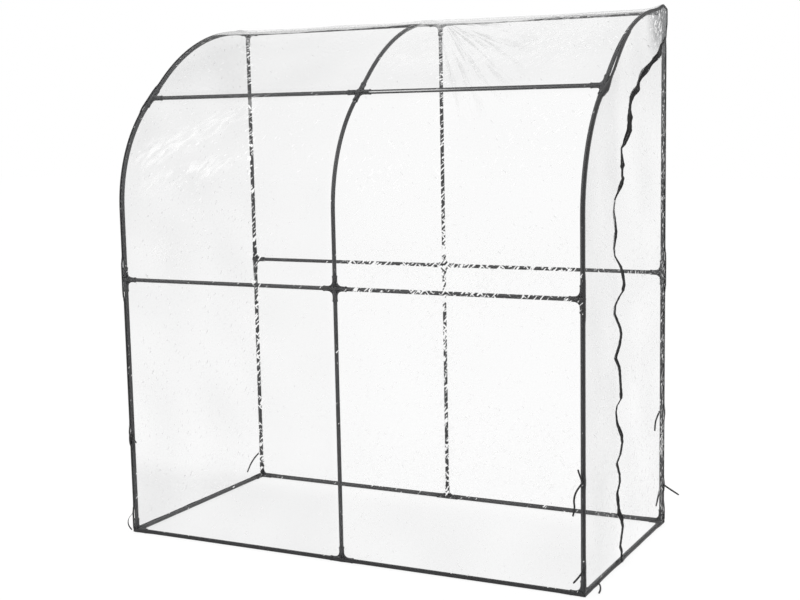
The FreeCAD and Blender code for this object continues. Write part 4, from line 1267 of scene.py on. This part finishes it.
panel_tape, panel_run = zip_tape("zip_tape_panel_weave", -1, "frame_and_cover", ["zip_tape_panel"])
teeth("zip_teeth_panel", -1, panel_run, "frame_and_cover")
door_tape, door_run = zip_tape("zip_tape_door_weave", 1, None, ["zip_tape_door"])
for made in (door_tape, teeth("zip_teeth_door", 1, door_run, None)):
    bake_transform(made)
print("zip", round(float(panel_run[-1]), 3), "m")

# %% [markdown]
# ## Slider and pull
# The slider is two plates with flanges round the teeth, joined by a web that parts them. It has a bridge
# with a pin, and the pull hangs from the pin by an eye.

# %% Slider and pull
FRONT_PLATE, BACK_PLATE, PIN_X, PIN_Z = 1.0044, 0.9998, 1.0081, 0.033


def plate(shells, outline, levels):
    """A plate square to X: an outline of (y, z) points, with y from the zip line, at each (x, moved in)."""
    outline = np.asarray(outline, float) + [ZIP_Y, 0]
    middle = outline.mean(axis=0)
    rings = [np.insert(outline + unit(middle - outline) * inset, 0, x, axis=1) for x, inset in levels]
    shells.rings(np.array(rings))


def shield(width_foot, width_top, foot, top, power=3.2, count=40):
    """A soft shield: a superellipse in height and width whose width changes from foot to top."""
    angle = np.linspace(0, 2 * math.pi, count, endpoint=False)
    wide, high = (np.sign(side) * np.abs(side) ** (2 / power) for side in (np.cos(angle), np.sin(angle)))
    half = (width_foot + (width_top - width_foot) * (high + 1) / 2) / 2
    return np.column_stack([wide * half, (foot + top) / 2 + high * (top - foot) / 2])


def make_slider():
    """The slider's casting: two plates, two flanges, a bridge with its pin, and the web."""
    slider = Shells()
    face = shield(0.0086, 0.0110, 0.022, 0.038)
    plate(slider, face, [(FRONT_PLATE, 0.0), (FRONT_PLATE + 0.0009, 0.0), (FRONT_PLATE + 0.0014, 0.0004),
                         (FRONT_PLATE + 0.0015, 0.0010)])
    plate(slider, face, [(BACK_PLATE, 0.0008), (BACK_PLATE + 0.0003, 0.0002), (BACK_PLATE + 0.0013, 0.0),
                         (BACK_PLATE + 0.0017, 0.0003)])
    for sign in (-1, 1):
        flange = [(sign * (0.0036 + 0.0004 * abs(t)), 0.030 + 0.0068 * t) for t in np.linspace(-1, 1, 9)]
        flange += [(sign * (0.0049 - 0.0006 * abs(t)), 0.030 + 0.0068 * t) for t in np.linspace(1, -1, 9)]
        plate(slider, flange, [(1.0030, 0.0001), (FRONT_PLATE + 0.0002, 0.0)])
        bridge = ((0.0020, 0.0305), (0.0032, 0.0305), (0.0031, 0.0345), (0.0029, 0.0349), (0.0023, 0.0349),
                  (0.0021, 0.0345))
        plate(slider, [(sign * y, z) for y, z in bridge],
              [(FRONT_PLATE + 0.0013, 0.0), (PIN_X, 0.0), (PIN_X + 0.0016, 0.0003)])
    plate(slider, [(-0.0004, 0.0225), (0.0004, 0.0225), (0.0004, 0.0375), (-0.0004, 0.0375)],
          [(BACK_PLATE + 0.0015, 0.0), (FRONT_PLATE + 0.0003, 0.0)])
    pin = straight(np.array([PIN_X, ZIP_Y - 0.0031, PIN_Z]), np.array([PIN_X, ZIP_Y + 0.0031, PIN_Z]), 5)
    slider.rings(tube_rings(pin, 0.0008 * np.array([0.86, 1, 1, 1, 0.86]), 20, UP))
    slider.piece("zip_slider_casting", zinc_enamel, ["zip_slider"], "slider")


def make_pull():
    """The pull's casting: a ring round the pin, and a leaf with a raised rim that narrows at both ends."""
    pull = Shells()
    ring = [(0.0018, -0.00175), (0.0019, -0.0012), (0.0019, 0.0012), (0.0018, 0.00175), (0.0009, 0.00175),
            (0.0009, -0.00175)]
    pin = np.array([PIN_X, ZIP_Y, PIN_Z])
    turn = np.linspace(0, 2 * math.pi, 28, endpoint=False)
    eye = [[pin + (radius * math.cos(angle), y, radius * math.sin(angle)) for angle in turn]
           for radius, y in ring]
    pull.rings(np.array(eye), wrap_rows=True)
    leaf, rim_out = [], 0.0006
    for share in np.linspace(0, 1, 26):
        wide = 0.00165 + 0.00185 * smooth(share, 0.14, 0.34) - 0.0016 * smooth(share, 0.86, 1.0)
        hollow = 1 - 0.00022 / rim_out * smooth(share, 0.30, 0.42) * (1 - smooth(share, 0.80, 0.90))
        half = [(-1, -0.7), (-0.9, -1), (-0.72, -1), (-0.6, -hollow), (0.6, -hollow), (0.72, -1), (0.9, -1),
                (1, -0.7)]
        rim = half + [(-side, -out) for side, out in half]
        leaf.append([pin + (rim_out * out, wide * side, -0.0014 - share * 0.0252) for side, out in rim])
    pull.rings(np.array(leaf))
    pull.piece("zip_pull_casting", zinc_enamel, ["zip_pull_tab"], "pull")


make_slider()
make_pull()

# %% [markdown]
# ## Ties
# Short flat tapes are sewn to the seams near the posts and knotted. Each loose end hangs along a smooth
# NURBS line whose control points are the corners of its route. The flat tape is built on points read from it.

# %% Ties
TIE_WIDTH, TIE_THICK, TIE_GAP, KNOT_RADIUS, KNOT_THICK = 0.007, 0.0012, 0.0003, 0.005, 0.004
TIE_ACROSS = (0, 0.0066, 0.0072, 0.0078, 0.0144, 0.0150)


def nurbs_points(name, route):
    """Points of a smooth line with the route's points as control points, read from the curve itself."""
    curve = bpy.data.curves.new(name, "CURVE")
    curve.dimensions = "3D"
    spline = curve.splines.new("NURBS")
    spline.points.add(len(route) - 1)
    for point, place in zip(spline.points, route):
        point.co = (*[float(value) for value in place], 1.0)
    spline.order_u = 3
    spline.use_endpoint_u = True
    spline.resolution_u = 16
    holder = put(name, curve)
    mesh = bpy.data.meshes.new_from_object(holder.evaluated_get(bpy.context.evaluated_depsgraph_get()))
    points = np.array([vertex.co[:] for vertex in mesh.vertices])
    bpy.data.objects.remove(holder)
    bpy.data.meshes.remove(mesh)
    return points


def flat_tape(name, route, facing):
    """A flat tape on a line. It rolls a little to one side as it goes, and its melted end is narrower."""
    line = nurbs_points(name + "_line", route)
    run = line_length(line)
    along = unit(np.gradient(line, axis=0))
    across = unit(np.cross(along, facing))
    face = np.cross(across, along)
    roll = 0.20 * np.sin(run / run[-1] * 4.0)[:, None]
    across, face = across * np.cos(roll) + face * np.sin(roll), face * np.cos(roll) - across * np.sin(roll)
    half = TIE_WIDTH / 2 * (1 - 0.30 * smooth(run, run[-1] - 0.004, run[-1]))[:, None]
    section = [(-0.92, -1), (0.92, -1), (1, 0), (0.92, 1), (-0.92, 1), (-1, 0)]
    rings = [line + across * half * wide + face * TIE_THICK / 2 * high for wide, high in section]
    made = tape_piece(name, np.stack(rings, axis=1), run, TIE_ACROSS, tie_weave)
    return made, line, float(run[-1])


def knot_piece(name, place, outward):
    """A pulled tight knot: three turns of tape wound round one another at a slant."""
    shells = Shells()
    upright = np.array(UP, float)
    side = unit(np.cross(outward, upright))
    middle = place + outward * (TIE_GAP + KNOT_THICK / 2)
    angle = np.linspace(0, 2 * math.pi, 25, endpoint=False)[:, None]
    section = [(-1.0, 0.0), (-0.8, 0.8), (0.8, 0.8), (1.0, 0.0), (0.8, -0.8), (-0.8, -0.8)]
    for tilt, shift, reach in ((0.5, -0.0012, 0.0038), (-0.6, 0.0014, 0.0038), (1.5, 0.0, 0.0042)):
        first = side * math.cos(tilt) + upright * math.sin(tilt)
        spread = np.cross(outward, first)
        ring = middle + spread * shift + np.cos(angle) * first * reach + np.sin(angle) * outward * 0.00115
        out = unit(np.cross(unit(np.roll(ring, -1, axis=0) - np.roll(ring, 1, axis=0)), spread))
        rings = [ring + spread * 0.0016 * wide + out * 0.0008 * high for wide, high in section]
        shells.rings(np.stack(rings, axis=1), wrap_rows=True)
    made = shells.piece(name, tie_weave)
    points = len(made.data.vertices)
    set_uv(made.data, np.stack([np.linspace(0, 0.06, points), np.zeros(points)], axis=-1))
    return made


def tie(name, foot, outward, place, ends, facing=None):
    """A knot on a seam, and its loose ends. Places are millimetres from the foot of a post."""
    foot, outward = np.array(foot, float), np.array(outward, float)
    lump = foot + np.array(place) / 1000
    knot = knot_piece(name + "_knot", lump, outward)
    middle = lump + outward * (TIE_GAP + KNOT_THICK / 2)
    rim = KNOT_RADIUS / math.cos(math.pi / 8)
    for index, end in enumerate(ends):
        points = [foot + np.array(point) / 1000 for point in end]
        towards = unit(points[0] - middle)
        lean = abs(float(towards @ outward))
        reach = rim if lean < 0.01 else min(rim / math.sqrt(1 - lean * lean), KNOT_THICK / 2 / lean)
        start = middle + towards * (reach + TIE_GAP)
        made, line, length = flat_tape(f"{name}_end_{index + 1}", [start] + points,
                                       outward if facing is None else facing)
        print(made.name, round(length * 1000, 1), "mm")
    return knot


# %% Places of the ties
FACE, OUT, SHEET = 12.7, 17.7, 12.1
FRONT_RIGHT, REAR_RIGHT = (HALF_WIDTH, FRONT, 0), (HALF_WIDTH, REAR, 0)
FRONT_LEFT, REAR_LEFT = (-HALF_WIDTH, FRONT, 0), (-HALF_WIDTH, REAR, 0)
right_knot = tie("tie_front_right_high", FRONT_RIGHT, FORWARD, (4, -FACE, 423), [
    [(-4, -OUT, 443), (-12, -OUT - 1, 470)],
    [(-11, -OUT, 402), (-22, -OUT - 3, 381), (-27, -OUT - 4, 355), (-23, -OUT - 2, 327), (-32, -OUT, 297)]])
tie("tie_front_right_low", FRONT_RIGHT, FORWARD, (8, -FACE, 106), [
    [(-6, -OUT - 1, 79), (-30, -OUT - 3, 52)]])
tie("tie_side_rail", FRONT_RIGHT, (1, 0, 0), (FACE, 124, 13), [
    [(FACE + 12, 114, 10.5), (FACE + 22, 90, 7), (FACE + 29, 64, 5.5), (FACE + 33, 38, 6)]],
    (0.3, -0.5, 0.8))
tie("tie_rear_right_high", REAR_RIGHT, BACKWARD, (-14, SHEET, 474), [
    [(-24, OUT, 452), (-33, OUT + 2, 427), (-34, OUT, 390)]])
tie("tie_rear_right_low", REAR_RIGHT, BACKWARD, (6, FACE, 164), [
    [(34, OUT + 1, 145), (71, OUT, 126)],
    [(-11, OUT, 142), (-19, OUT + 3, 108), (-27, OUT, 66)]])
left_knot = tie("tie_front_left_high", FRONT_LEFT, FORWARD, (-4, -FACE, 432), [
    [(12, -OUT, 408), (31, -OUT - 1, 391)],
    [(-6, -OUT, 402), (2, -OUT - 3, 373), (17, -OUT, 353)]])
tie("tie_front_left_low", FRONT_LEFT, (-1, 0, 0), (-FACE, -6, 80), [
    [(-FACE - 20, -4, 66), (-FACE - 35, -1, 43), (-FACE - 33, 1, 18), (-FACE - 17, 2, 5)]])
tie("tie_rear_left", REAR_LEFT, BACKWARD, (-9, FACE, 126), [
    [(-38, OUT, 102), (-66, OUT + 2, 70), (-85, OUT + 1, 38), (-98, OUT, 8)],
    [(-10, OUT, 100), (-3, OUT + 1, 72)]])
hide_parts("ties_right")
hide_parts("ties_left")

# %% [markdown]
# ## Last look
# The box that the dressed model fills is printed.

# %% Finish
low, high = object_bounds()
print("box of the dressed model:", list(low), list(high))
